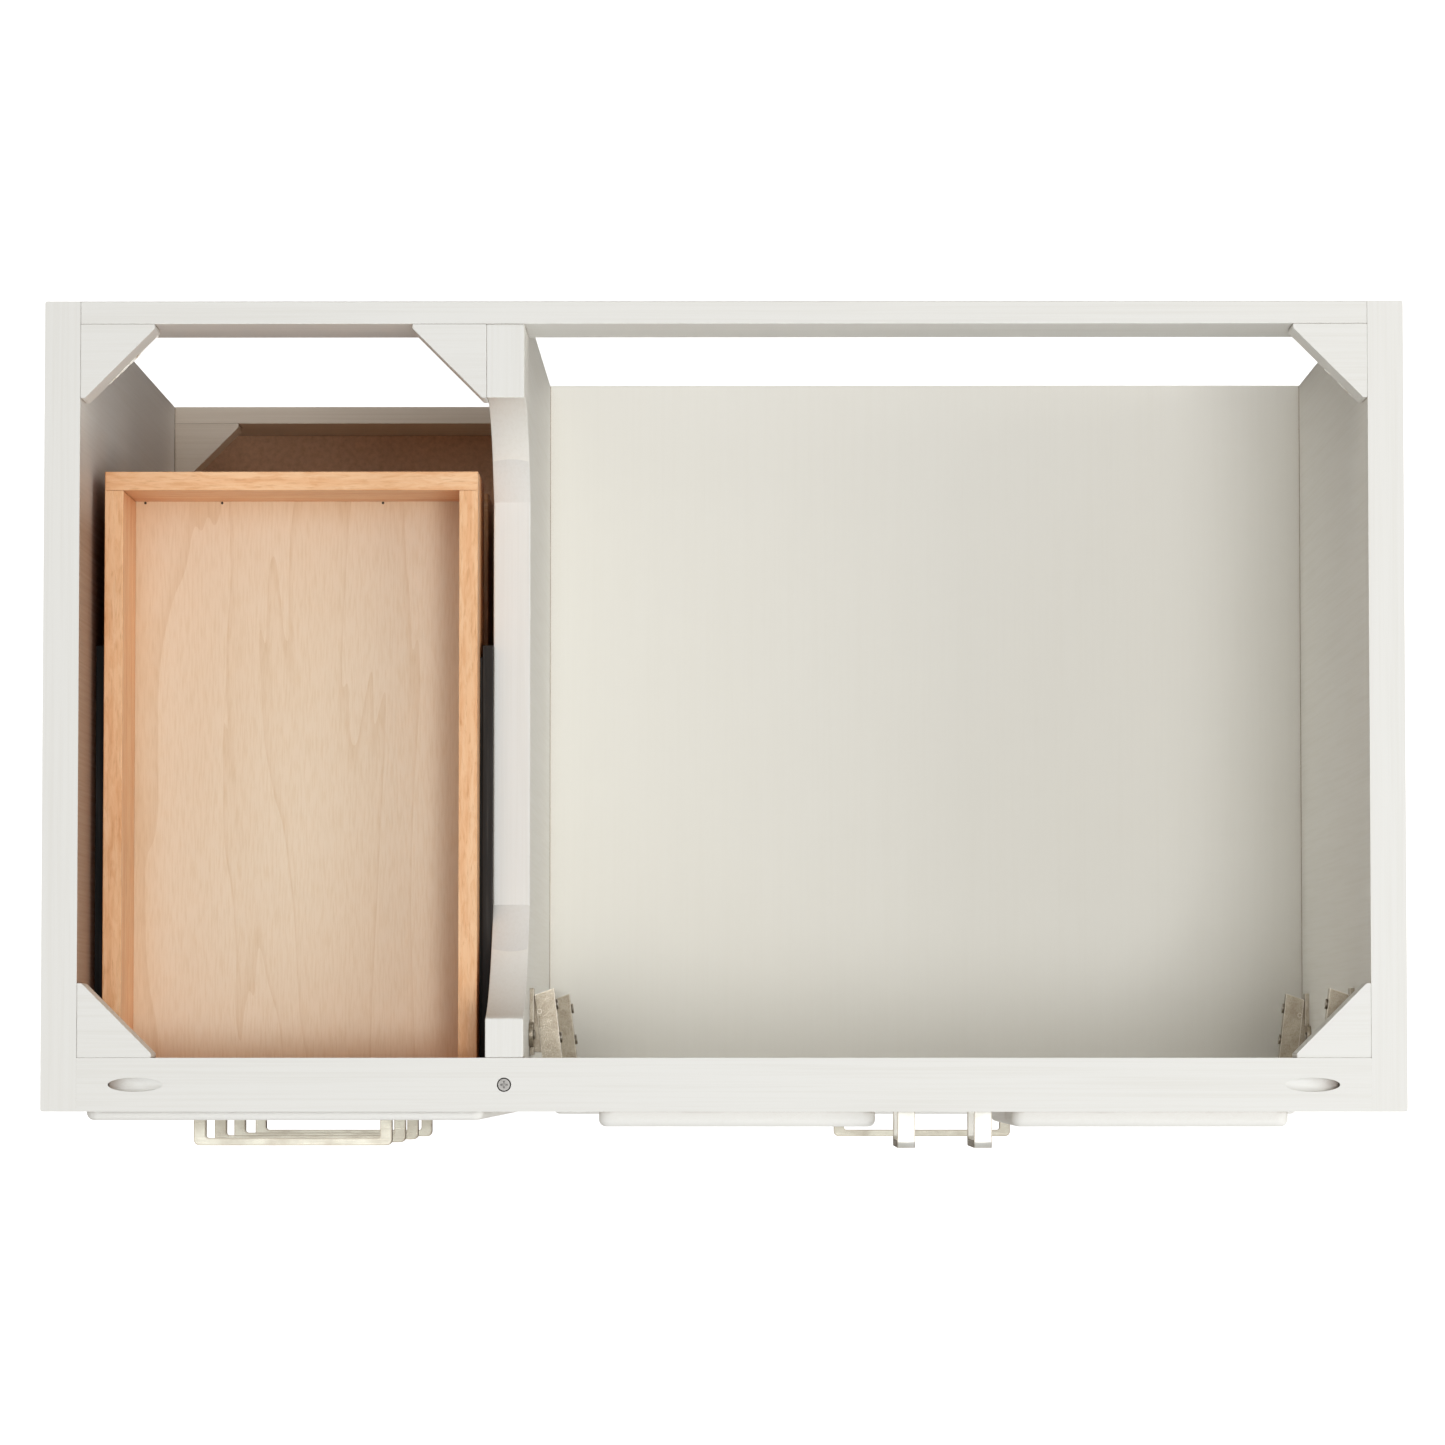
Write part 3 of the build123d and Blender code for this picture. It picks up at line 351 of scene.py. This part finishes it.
def painted_wood(name, axis, strength, tone=OPEN_FACE_PAINTED_SHADE, seam_dirt_and_shade=SEAM_DIRT_AND_SHADE, top_axis=None, bay_shade_corner=None):
    """Satin white paint over wood: brushed streaks along the grain and soft colour drift, with painted
    shade where walls stand close.

    axis is the grain's direction, and top_axis its direction on faces that look up, where it
    differs. strength is how plainly the streaks show, from 0 to 1. tone multiplies the coat's
    colour: a real tint for some coats and painted light for others, dimming open faces or
    lightening walls and the bay floor; where top_axis is given, faces that look up take the
    dimmed open-face tint. The seam colour darkens seams and inner corners, partly as dirt and
    partly as painted shade. A corner point, where given, paints brown shade on the faces that
    look to the right, in front of and above it.
    """
    tree = Tree(name)
    streak_place = tree.stretch(grain_scale(axis, STREAK_ALONG, STREAK_ACROSS))
    if top_axis is not None:
        on_top = looks_up(tree)
        top_place = tree.stretch(grain_scale(top_axis, STREAK_ALONG, STREAK_ACROSS))
        streak_place = tree.mix(on_top, streak_place, top_place, kind="VECTOR")
    streaks = tree.noise(streak_place, 1.0, 5.0, 0.62)
    pores = tree.noise(streak_place, 3.4, 2.0, 0.5)
    drift = tree.noise(tree.place, 2.6, 3.0, 0.5, 0.4)
    plain = tree.ramp(drift, [(0.30, PAINT_WARM), (0.62, PAINT)])
    plain = tree.mix(0.55, plain, PAINT)
    # The tone tint: a real coat tint for some coats, painted light for others.
    colour = tree.tint(plain, tone)
    if top_axis is not None:
        # Painted shade: faces that look up take the dimmed open-face tint.
        colour = tree.mix(on_top, colour, tree.tint(plain, OPEN_FACE_PAINTED_SHADE))
    streak_shade = tree.ramp(streaks, [(0.33, (0.940, 0.932, 0.915)), (0.56, WHITE)])
    colour = tree.tint(colour, streak_shade, strength)
    # Darker within 3.5 mm of seams and inner corners, partly dirt and partly painted shade, broken up by
    # noise.
    seam_patchiness = tree.math("MULTIPLY", tree.noise(tree.place, 38.0, 3.0, 0.6), 0.55)
    seam = tree.span(tree.math("SUBTRACT", tree.crevice(3.5 * MM), seam_patchiness), 0.0, 1.0, -0.15, 0.40)
    colour = tree.tint(colour, tree.ramp(seam, [(0.0, seam_dirt_and_shade), (1.0, WHITE)]))
    # Painted brown shade on the left bay's wall beside the drawers.
    if bay_shade_corner is not None:
        colour = bay_painted_shade(tree, colour, drift, bay_shade_corner)
    # Painted shade: a warm-brown tint where walls stand within 30 mm.
    colour = tree.shade(colour, 30.0 * MM, (0.42, 0.29, 0.21), 0.45)
    height = tree.math("ADD", tree.math("MULTIPLY", pores, 0.35), streaks)
    return tree.finish(
        Base_Color=colour,
        Roughness=tree.span(streaks, 0.62, 0.44, 0.3, 0.7),
        Normal=tree.bump(height, 0.09 * MM * strength),
        IOR=1.45,
    )


def board_place(tree, node):
    """Coordinates that run along each board: the front and back boards lie across the drawer."""
    low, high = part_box(node)
    turned = tree.add("ShaderNodeMapping", None, Vector=tree.place, Rotation=(0.0, 0.0, math.pi / 2))
    place = tree.parts(tree.place)
    past_left = tree.over(place["X"], low.x + BOX_BOARD)
    before_right = tree.under(place["X"], high.x - BOX_BOARD)
    inside = tree.math("MULTIPLY", past_left, before_right)
    back = tree.over(place["Y"], high.y - BOX_BOARD)
    across = tree.math("MAXIMUM", inside, back)
    return tree.mix(across, tree.place, turned.outputs["Vector"], kind="VECTOR")


def side_wood(name, node):
    """Clear-finished light hardwood: slow colour bands, small flecks, short darker pores and painted
    shade in corners.
    """
    tree = Tree(name)
    along = board_place(tree, node)
    bands = tree.noise(tree.stretch(grain_scale(AXIS_Y, 6.0, 130.0), along), 1.0, 5.0, 0.6, 0.5)
    pores = tree.noise(tree.stretch(grain_scale(AXIS_Y, 80.0, 900.0), along), 1.0, 4.0, 0.6, 0.4)
    mottle = tree.noise(tree.stretch(grain_scale(AXIS_Y, 45.0, 230.0), along), 1.0, 4.0, 0.65, 0.8)
    drift = tree.noise(tree.place, 7.0, 2.0, 0.5)
    stops = [(0.30, SIDE_WOOD_DEEP), (0.50, SIDE_WOOD_PALE), (0.72, SIDE_WOOD_LIGHT)]
    colour = tree.ramp(bands, stops)
    colour = tree.tint(colour, tree.ramp(pores, [(0.30, (0.80, 0.70, 0.60)), (0.46, WHITE)]), 0.8)
    colour = tree.tint(colour, tree.ramp(mottle, [(0.36, (0.90, 0.80, 0.70)), (0.56, WHITE)]), 0.9)
    colour = tree.tint(colour, tree.ramp(drift, [(0.25, (0.90, 0.86, 0.80)), (0.70, (1.05, 1.03, 1.0))]))
    # Painted shade in the box's seams and inner corners, within 3 mm.
    seam = tree.span(tree.crevice(3.0 * MM), 0.0, 1.0, 0.10, 0.60)
    colour = tree.tint(colour, tree.ramp(seam, [(0.0, (0.55, 0.42, 0.32)), (1.0, WHITE)]))
    return tree.finish(
        # Painted shade: an orange tint where walls stand within 40 mm.
        Base_Color=tree.shade(colour, 40.0 * MM, (0.78, 0.52, 0.34)),
        Roughness=tree.span(bands, 0.52, 0.40, 0.3, 0.7),
        Normal=tree.bump(pores, 0.07 * MM),
        Coat_Weight=0.15,
        Coat_Roughness=0.35,
    )


def birch_ply(name):
    """Rotary-cut birch face: broad flame figure along the drawer with faint fine lines, and painted warm
    shade in corners.
    """
    tree = Tree(name)
    bend = tree.noise(tree.stretch(grain_scale(AXIS_Y, 0.9, 9.0)), 1.0, 3.0, 0.5, 0.6)
    rings = tree.math("MODULO", tree.math("MULTIPLY", bend, PLY_RINGS), 1.0)
    ring_line = tree.ramp(rings, [(0.0, WHITE), (0.84, PLY_LINE_EDGE), (0.97, PLY_LINE)])
    fine = tree.noise(tree.stretch(grain_scale(AXIS_Y, 60.0, 760.0)), 1.0, 4.0, 0.6)
    cloud = tree.noise(tree.stretch(grain_scale(AXIS_Y, 1.6, 3.0)), 1.6, 3.0, 0.5, 0.3)
    colour = tree.ramp(cloud, [(0.30, PLY_DEEP), (0.68, PLY_PALE)])
    colour = tree.mix(0.62, colour, PLY_PALE)
    colour = tree.tint(colour, ring_line, 0.6)
    colour = tree.tint(colour, tree.ramp(fine, [(0.34, (0.94, 0.91, 0.86)), (0.56, WHITE)]))
    return tree.finish(
        # Painted shade: a warm tint where walls stand within 30 mm.
        Base_Color=tree.shade(colour, 30.0 * MM, (0.90, 0.73, 0.52), 0.9),
        Roughness=tree.span(fine, 0.56, 0.44, 0.3, 0.7),
        Normal=tree.bump(fine, 0.04 * MM),
        Coat_Weight=0.1,
        Coat_Roughness=0.4,
    )


def satin_metal(name, colour, shade, rough, axis=AXIS_X, corner_shade=0.55, edge_painted_reflection=None):
    """Plated metal: fine brushed lines, slightly uneven tone and painted shade in inner corners.

    Where an edge colour is given, the outer edges take it as a painted reflection.
    """
    tree = Tree(name)
    brush = tree.noise(tree.stretch(grain_scale(axis, 40.0, 2400.0)), 1.0, 3.0, 0.6)
    blot = tree.noise(tree.place, 60.0, 3.0, 0.5)
    base = tree.ramp(blot, [(0.30, shade), (0.60, colour)])
    base = tree.mix(0.5, base, colour)
    if edge_painted_reflection is not None:
        # Painted reflection: a given dark colour on the outer edges.
        base = tree.mix(tree.edges(1.1 * MM), base, edge_painted_reflection)
    # Painted shade in inner corners, darkened down to corner_shade.
    corner = tree.span(tree.crevice(4.0 * MM), corner_shade, 1.0, 0.15, 0.80)
    grey = tree.add("ShaderNodeCombineColor", None, Red=corner, Green=corner, Blue=corner)
    return tree.finish(
        Base_Color=tree.tint(base, grey.outputs["Color"]),
        Metallic=1.0,
        Roughness=tree.span(brush, rough + 0.07, rough - 0.05, 0.3, 0.7),
        Normal=tree.bump(brush, 0.02 * MM),
    )


def stamped_nickel(name):
    """Tumbled nickel plate: cloudy and finely pitted, with a painted highlight along its outer edges and
    painted shade in tight corners.
    """
    tree = Tree(name)
    cloud = tree.noise(tree.place, 110.0, 4.0, 0.6)
    pits = tree.noise(tree.place, 1400.0, 3.0, 0.7)
    base = tree.ramp(cloud, [(0.36, NICKEL_DARK), (0.62, NICKEL)])
    base = tree.mix(0.55, base, NICKEL_MEAN)
    base = tree.tint(base, tree.ramp(pits, [(0.38, (0.72, 0.68, 0.62)), (0.60, WHITE)]), 0.8)
    # Painted highlight: outer edges lightened.
    base = tree.mix(tree.edges(0.7 * MM), base, NICKEL_EDGE_PAINTED_HIGHLIGHT)
    return tree.finish(
        # Painted shade: a dark brown tint in tight corners, within 3 mm.
        Base_Color=tree.shade(base, 3.0 * MM, (0.16, 0.11, 0.07), 0.7),
        Metallic=1.0,
        Roughness=tree.span(pits, 0.42, 0.24, 0.3, 0.7),
        Normal=tree.bump(pits, 0.03 * MM),
    )


def coated_steel(name):
    """Black-coated rolled steel with a light orange peel and rubbed running faces."""
    tree = Tree(name)
    peel = tree.noise(tree.place, 700.0, 2.0, 0.5)
    rub = tree.noise(tree.stretch(grain_scale(AXIS_Y, 12.0, 500.0)), 1.0, 4.0, 0.6)
    colour = tree.ramp(rub, [(0.55, BLACK), (0.80, BLACK_RUBBED)])
    return tree.finish(
        Base_Color=colour,
        Roughness=tree.span(rub, 0.62, 0.42, 0.35, 0.8),
        Normal=tree.bump(peel, 0.02 * MM),
    )


def moulded_plastic(name):
    """Matt moulded plastic with a fine spark-eroded texture."""
    tree = Tree(name)
    pebble = tree.noise(tree.place, 1500.0, 2.0, 0.5)
    drift = tree.noise(tree.place, 40.0, 2.0, 0.5)
    colour = tree.ramp(drift, [(0.3, PLASTIC), (0.7, PLASTIC_PALE)])
    return tree.finish(
        Base_Color=colour,
        Roughness=tree.span(pebble, 0.62, 0.46, 0.3, 0.7),
        Normal=tree.bump(pebble, 0.03 * MM),
    )


def bare_board(name):
    """Unpainted fibre board: fine fibres, small flecks and soft blotches."""
    tree = Tree(name)
    fibre = tree.noise(tree.place, 240.0, 5.0, 0.7)
    blotch = tree.noise(tree.place, 9.0, 3.0, 0.5)
    low = tuple(0.78 * value for value in BARE_BOARD)
    colour = tree.ramp(blotch, [(0.3, low), (0.7, BARE_BOARD)])
    fleck = tree.ramp(fibre, [(0.32, (0.80, 0.78, 0.74)), (0.60, WHITE)])
    return tree.finish(
        Base_Color=tree.tint(colour, fleck),
        Roughness=tree.span(fibre, 0.85, 0.65, 0.3, 0.7),
        Normal=tree.bump(fibre, 0.08 * MM),
    )


def putty(name):
    """Painted-over filler: lumpy, a little warmer than the paint and brown in its cracks."""
    tree = Tree(name)
    lumps = tree.noise(tree.place, 900.0, 4.0, 0.6)
    crumbs = tree.noise(tree.place, 320.0, 3.0, 0.6)
    colour = tree.ramp(crumbs, [(0.30, PUTTY_CRACK), (0.42, PUTTY), (0.70, PAINT)])
    return tree.finish(
        Base_Color=colour,
        Roughness=tree.span(lumps, 0.72, 0.5, 0.3, 0.7),
        Normal=tree.bump(lumps, 0.2 * MM),
    )


def studio_floor(name):
    """A plain white sweep, lit through from below like a light table."""
    tree = Tree(name)
    haze = tree.noise(tree.place, 0.6, 2.0, 0.5)
    colour = tree.ramp(haze, [(0.3, SWEEP_LOW), (0.7, SWEEP_HIGH)])
    return tree.finish(
        Base_Color=colour,
        Roughness=0.9,
        Emission_Color=WHITE,
        Emission_Strength=1.0,
    )


def build_materials():
    """Every material, by the word that the scene uses for it."""
    behind_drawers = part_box("drawer_1_box")[1]
    bay_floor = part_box("bottom_panel")[1]
    bay_shade_point = Vector((0.0, behind_drawers.y, bay_floor.z))
    return {
        # Painted shade: rails and top blocks take the dimmed open-face tint.
        "paint_x": painted_wood("paint_grain_x", AXIS_X, 0.6),
        # Painted light: walls lightened, with tops dimmed.
        "paint_z": painted_wood("paint_grain_z", AXIS_Z, 0.5, WALL_PAINTED_LIGHT, FAINT_SEAM_DIRT_AND_SHADE, AXIS_Y),
        # Painted brown shade on the left bay's wall, in front of and above a corner point.
        "paint_left": painted_wood("paint_left_bay", AXIS_Z, 0.5, WHITE, SEAM_DIRT_AND_SHADE, AXIS_Y, bay_shade_point),
        "paint_door": painted_wood("paint_doors", AXIS_Z, 0.25, WHITE),
        "paint_front": painted_wood("paint_drawer_fronts", AXIS_X, 0.3, WHITE),
        "paint_thin": painted_wood("paint_thin_coat", AXIS_X, 1.0, THIN_COAT),
        # Painted light: the bay floor's coat is lightened.
        "paint_smooth": painted_wood("paint_on_board", AXIS_Y, 0.15, BAY_FLOOR_PAINTED_LIGHT, FAINT_SEAM_DIRT_AND_SHADE),
        "putty": putty("painted_putty"),
        "bare_board": bare_board("bare_hardboard"),
        "left_bay_wood": side_wood("drawer_hardwood_left_bay", "drawer_1_box"),
        "right_bay_wood": side_wood("drawer_hardwood_right_bay", "drawer_5_box"),
        "ply": birch_ply("drawer_birch_ply"),
        # Painted reflection: the pulls' outer edges take a dark edge colour.
        "nickel": satin_metal("satin_nickel", PULL_NICKEL, NICKEL_DARK, 0.30, edge_painted_reflection=PULL_EDGE_PAINTED_REFLECTION),
        # Painted highlight: the upright pulls take a brighter copy of the same nickel.
        "nickel_z": satin_metal(
            "satin_nickel_upright", PULL_NICKEL_PAINTED_BRIGHT, PULL_NICKEL, 0.30, AXIS_Z, edge_painted_reflection=PULL_EDGE_PAINTED_REFLECTION
        ),
        "hinge": stamped_nickel("hinge_nickel"),
        # Painted shade: these screws darken strongly in their corners and recesses.
        "frame_screw": satin_metal("worn_screw", WORN_SCREW, WORN_SCREW_DARK, 0.26, corner_shade=0.03),
        "zinc": satin_metal("zinc_screw", ZINC, ZINC_DARK, 0.32, corner_shade=0.10),
        "brad": satin_metal("dark_brad", BRAD, BRAD_DARK, 0.45),
        # Painted shadow: a near-black ring for the gap round the front rail's screw.
        "ring": satin_metal("screw_gap_painted_shadow", SCREW_GAP_PAINTED_SHADOW, SCREW_GAP_PAINTED_SHADOW_DARK, 0.5),
        "steel": satin_metal("bright_steel", STEEL, STEEL_DARK, 0.14),
        "black_steel": coated_steel("black_coated_steel"),
        "plastic": moulded_plastic("black_plastic"),
        "floor": studio_floor("white_sweep"),
    }


# ---------------------------------------------------------------- CAD nodes


def soften(obj, width, segments):
    """Ease the edges of a CAD node: its split vertices are joined, then its corners bevelled."""
    weld = obj.modifiers.new("join", "WELD")
    weld.merge_threshold = WELD_REACH
    bevel = obj.modifiers.new("ease", "BEVEL")
    bevel.width = width
    bevel.segments = segments
    bevel.limit_method = "ANGLE"
    bevel.angle_limit = EASE_ANGLE


def dress(node, material, width=0.0, segments=2):
    """Give a CAD node its material and, if a width is given, eased edges."""
    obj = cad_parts[node]
    obj.data.materials.clear()
    obj.data.materials.append(material)
    if width:
        soften(obj, width, segments)


def dress_carcass(mats):
    """Finish the fixed painted pieces, their screws and glides."""
    for node in ("front_top_rail", "back_top_rail", "front_bottom_rail", "top_corner_blocks"):
        dress(node, mats["paint_x"], EASE_RAIL)
    for node in ("back_bottom_rail", "bottom_corner_blocks"):
        dress(node, mats["paint_thin"], EASE_RAIL)
    dress("left_side_panel", mats["paint_left"], EASE_PANEL)
    for node in ("right_side_panel", "divider_panel"):
        dress(node, mats["paint_z"], EASE_PANEL)
    dress("compartment_floor", mats["paint_smooth"], EASE_FLOOR)
    dress("bottom_panel", mats["bare_board"], EASE_BOARD)
    dress("frame_screws", mats["frame_screw"], EASE_FRAME_SCREW)
    dress("floor_glides", mats["plastic"])


def dress_hardware(mats):
    """Finish the slides' cabinet members and the fixed parts of the hinges."""
    for node in ("slide_cabinet_screws", "hinge_screws"):
        dress(node, mats["zinc"], EASE_SCREW)
    dress("slide_bumpers", mats["plastic"], EASE_BUMPER)
    dress("slide_cabinet_members", mats["black_steel"], EASE_SLIDE)
    for node in ("hinge_plates", "hinge_arms"):
        dress(node, mats["hinge"], EASE_STAMPED)


def dress_drawer(drawer, mats):
    """Finish one drawer with its pull and its halves of the slides."""
    wood = "right_bay_wood" if drawer == "drawer_5" else "left_bay_wood"
    dress(f"{drawer}_box", mats[wood], EASE_BOX)
    dress(f"{drawer}_bottom", mats["ply"], EASE_PLY)
    dress(f"{drawer}_front", mats["paint_front"], EASE_FRONT)
    dress(f"{drawer}_pull", mats["nickel"], EASE_PULL, PULL_SEGMENTS)
    dress(f"{drawer}_slide_members", mats["black_steel"], EASE_SLIDE)
    dress(f"{drawer}_release_levers", mats["plastic"], EASE_LEVER)
    dress(f"{drawer}_ball_cages", mats["steel"])


def dress_door(door, mats):
    """Finish one door with its pull and its hinge cups."""
    dress(door, mats["paint_door"], EASE_FRONT)
    dress(f"{door}_pull", mats["nickel_z"], EASE_PULL, PULL_SEGMENTS)
    dress(door.replace("door", "hinge_cups"), mats["hinge"], EASE_CUP)


def dress_cad(mats):
    """Finish every CAD node."""
    dress_carcass(mats)
    dress_hardware(mats)
    for drawer in DRAWERS:
        dress_drawer(drawer, mats)
    for door in DOORS:
        dress_door(door, mats)


# ---------------------------------------------------------------- small pieces


def place_piece(name, mesh_builder, material, body):
    """Make one small piece that moves with a body and takes the given material slot."""
    mesh = bpy.data.meshes.new(name)
    mesh_builder.normal_update()
    mesh_builder.to_mesh(mesh)
    mesh_builder.free()
    mesh.materials.append(material)
    for face in mesh.polygons:
        face.use_smooth = True
    piece = bpy.data.objects.new(name, mesh)
    bpy.context.collection.objects.link(piece)
    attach(piece, body)


def skin(shape, loops):
    """Four-sided faces between each loop of points and the next."""
    for first, second in zip(loops, loops[1:]):
        sides = len(first)
        for side in range(sides):
            after = (side + 1) % sides
            shape.faces.new((first[side], first[after], second[after], second[side]))


def round_way(side, sides):
    """The horizontal direction to one of the sides of a circle."""
    turn = 2 * math.pi * side / sides
    return Vector((math.cos(turn), math.sin(turn), 0.0))


def bead(start, end, radius, rings=14, sides=8):
    """A lumpy closed bead between two points, as a mesh builder."""
    shape = bmesh.new()
    along = (end - start).normalized()
    aside = along.orthogonal().normalized()
    over = along.cross(aside)
    loops = []
    for ring in range(rings):
        share = ring / (rings - 1)
        swell = math.sin(math.pi * min(max(share, 0.04), 0.96)) ** 0.35
        reach = radius * swell * draw.uniform(0.62, 1.0)
        centre = start.lerp(end, share)
        loop = []
        for side in range(sides):
            turn = 2 * math.pi * side / sides
            way = aside * math.cos(turn) + over * math.sin(turn)
            loop.append(shape.verts.new(centre + way * reach * draw.uniform(0.8, 1.1)))
        loops.append(loop)
    skin(shape, loops)
    shape.faces.new(loops[0][::-1])
    shape.faces.new(loops[-1])
    return shape


def block_face(side_x, turn_x, back_y):
    """The two ends of a back corner block's long face, as points at zero height."""
    near = Vector((side_x + turn_x * BLOCK_LEG, back_y - BLOCK_TIP, 0.0))
    far = Vector((side_x + turn_x * BLOCK_TIP, back_y - BLOCK_LEG, 0.0))
    return near, far


def add_putty(mats):
    """Beads of painted filler low on the long faces of the two outer back blocks."""
    back_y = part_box("back_top_rail")[0].y
    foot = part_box("top_corner_blocks")[0].z
    corners = {
        "left": (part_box("left_side_panel")[1].x, 1, PUTTY_LEFT),
        "right": (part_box("right_side_panel")[0].x, -1, PUTTY_RIGHT),
    }
    for name, (side_x, turn, beads) in corners.items():
        near, far = block_face(side_x, turn, back_y)
        lift = Vector((turn * PUTTY_OUT, -PUTTY_OUT, foot + PUTTY_UP))
        for number, (start, end, radius) in enumerate(beads):
            shape = bead(near.lerp(far, start) + lift, near.lerp(far, end) + lift, radius)
            place_piece(f"putty_{name}_{number}", shape, mats["putty"], "cabinet")


def brad_head(centre, radius, height, sides=12):
    """A low domed nail head standing on a surface, as a mesh builder."""
    shape = bmesh.new()
    loops = []
    for level in range(3):
        tilt = math.pi / 2 * level / 3
        rise = Vector((0.0, 0.0, height * math.sin(tilt)))
        loop = []
        for side in range(sides):
            reach = radius * math.cos(tilt) * draw.uniform(0.94, 1.0)
            loop.append(shape.verts.new(centre + round_way(side, sides) * reach + rise))
        loops.append(loop)
    skin(shape, loops)
    top = shape.verts.new(centre + Vector((0.0, 0.0, height)))
    for side in range(sides):
        shape.faces.new((loops[-1][side], loops[-1][(side + 1) % sides], top))
    shape.faces.new(loops[0][::-1])
    return shape


def washer(centre, inner, outer, height, sides=28):
    """A thin ring with a raised, slightly uneven crown, as a mesh builder."""
    shape = bmesh.new()
    profile = [(inner, 0.0), (inner, 0.7), (0.5 * (inner + outer), 1.0), (outer, 0.6), (outer, 0.0)]
    loops = []
    for reach, rise in profile:
        loop = []
        for side in range(sides):
            lift = Vector((0.0, 0.0, height * rise * draw.uniform(0.85, 1.0)))
            loop.append(shape.verts.new(centre + round_way(side, sides) * reach + lift))
        loops.append(loop)
    skin(shape, loops + loops[:1])
    bmesh.ops.recalc_face_normals(shape, faces=shape.faces)
    return shape


def add_screw_gap_shadow(mats):
    """A near-black ring standing for the shadow in the gap round the sunk screw in the front rail: a
    painted shadow.
    """
    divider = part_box("divider_panel")
    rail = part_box("front_top_rail")
    x = (divider[0].x + divider[1].x) / 2
    y = (rail[0].y + rail[1].y) / 2
    centre = Vector((x, y, rail[1].z - SCREW_SUNK))
    shape = washer(centre, SCREW_HEAD - RING_WIDTH, SCREW_HEAD - RING_GAP, RING_HEIGHT)
    place_piece("screw_gap_shadow", shape, mats["ring"], "cabinet")


def add_brads(mats):
    """Brads through each plywood bottom along the foot of the back board."""
    for drawer in DRAWERS:
        low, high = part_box(f"{drawer}_box")
        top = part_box(f"{drawer}_bottom")[1].z
        span = high.x - low.x
        for number, share in enumerate(BRAD_SHARES):
            centre = Vector((low.x + span * share, high.y - BOX_BOARD - BRAD_GAP, top))
            shape = brad_head(centre, BRAD_RADIUS, BRAD_HEIGHT)
            place_piece(f"{drawer}_brad_{number}", shape, mats["brad"], drawer)


# ---------------------------------------------------------------- studio


def add_floor(mats):
    """The white sweep that the cabinet stands on."""
    mesh = bpy.data.meshes.new("studio_floor")
    half = SWEEP_HALF
    corners = [(-half, -half, 0), (half, -half, 0), (half, half, 0), (-half, half, 0)]
    mesh.from_pydata(corners, [], [(0, 1, 2, 3)])
    floor = bpy.data.objects.new("studio_floor", mesh)
    floor.data.materials.append(mats["floor"])
    bpy.context.collection.objects.link(floor)
    floor.visible_diffuse = False
    floor.visible_glossy = False


def area_light(name, place, target, size, power, colour):
    """A square soft light that faces its target."""
    data = bpy.data.lights.new(name, "AREA")
    data.shape = "SQUARE"
    data.size = size
    data.energy = power
    data.color = colour
    light = bpy.data.objects.new(name, data)
    light.location = place
    light.rotation_mode = "QUATERNION"
    light.rotation_quaternion = (Vector(target) - Vector(place)).to_track_quat("-Z", "Y")
    bpy.context.collection.objects.link(light)
    return light


def add_world():
    """A pale studio: bright overhead and in front, dim and warm behind and below."""
    world = bpy.data.worlds.new("studio")
    bpy.context.scene.world = world
    world.use_nodes = True
    nodes = world.node_tree.nodes
    links = world.node_tree.links
    way = nodes.new("ShaderNodeTexCoord").outputs["Generated"]
    brighter = nodes.new("ShaderNodeMath")
    brighter.operation = "MAXIMUM"
    for socket, axis in zip(brighter.inputs, (WORLD_UP, WORLD_FRONT)):
        share = nodes.new("ShaderNodeVectorMath")
        share.operation = "DOT_PRODUCT"
        share.inputs[1].default_value = axis
        links.new(way, share.inputs[0])
        links.new(share.outputs["Value"], socket)
    ramp = nodes.new("ShaderNodeValToRGB")
    links.new(brighter.outputs["Value"], ramp.inputs["Fac"])
    fill_ramp(ramp.color_ramp, WORLD_STOPS)
    background = nodes["Background"]
    links.new(ramp.outputs["Color"], background.inputs["Color"])
    background.inputs["Strength"].default_value = WORLD_STRENGTH


def add_lights():
    """A key almost overhead, a side fill, low fills all round, and a card that only metal mirrors."""
    add_world()
    key = area_light("key", KEY_PLACE, LAMP_TARGET, KEY_SIZE, KEY_POWER, KEY_COLOUR)
    side = area_light("side_fill", SIDE_PLACE, LAMP_TARGET, SIDE_SIZE, SIDE_POWER, SIDE_COLOUR)
    for name, (place, power) in LOW_FILLS.items():
        area_light(name, place, LOW_TARGET, LOW_SIZE, power, LOW_COLOUR)
    shine = area_light("shine_card", SHINE_PLACE, LAMP_TARGET, SHINE_SIZE, SHINE_POWER, WHITE)
    key.visible_glossy = False
    side.visible_glossy = False
    shine.visible_diffuse = False


def add_camera():
    """The camera high above the cabinet, a little to the front of its middle."""
    data = bpy.data.cameras.new("camera")
    data.sensor_width = SENSOR
    data.lens = CAMERA_LENS
    data.clip_start = CLIP_NEAR
    data.clip_end = CLIP_FAR
    camera = bpy.data.objects.new("camera", data)
    forward = (CAMERA_TARGET - CAMERA_PLACE).normalized()
    right = forward.cross(Vector((0, 1, 0))).normalized()
    up = right.cross(forward)
    turned = Matrix((right, up, -forward)).transposed().to_4x4()
    camera.matrix_world = Matrix.Translation(CAMERA_PLACE) @ turned
    bpy.context.collection.objects.link(camera)
    bpy.context.scene.camera = camera


materials = build_materials()
dress_cad(materials)
add_putty(materials)
add_brads(materials)
add_screw_gap_shadow(materials)
add_floor(materials)
add_lights()
add_camera()
bpy.context.scene.view_settings.view_transform = "Standard"
bpy.context.scene.view_settings.look = "None"
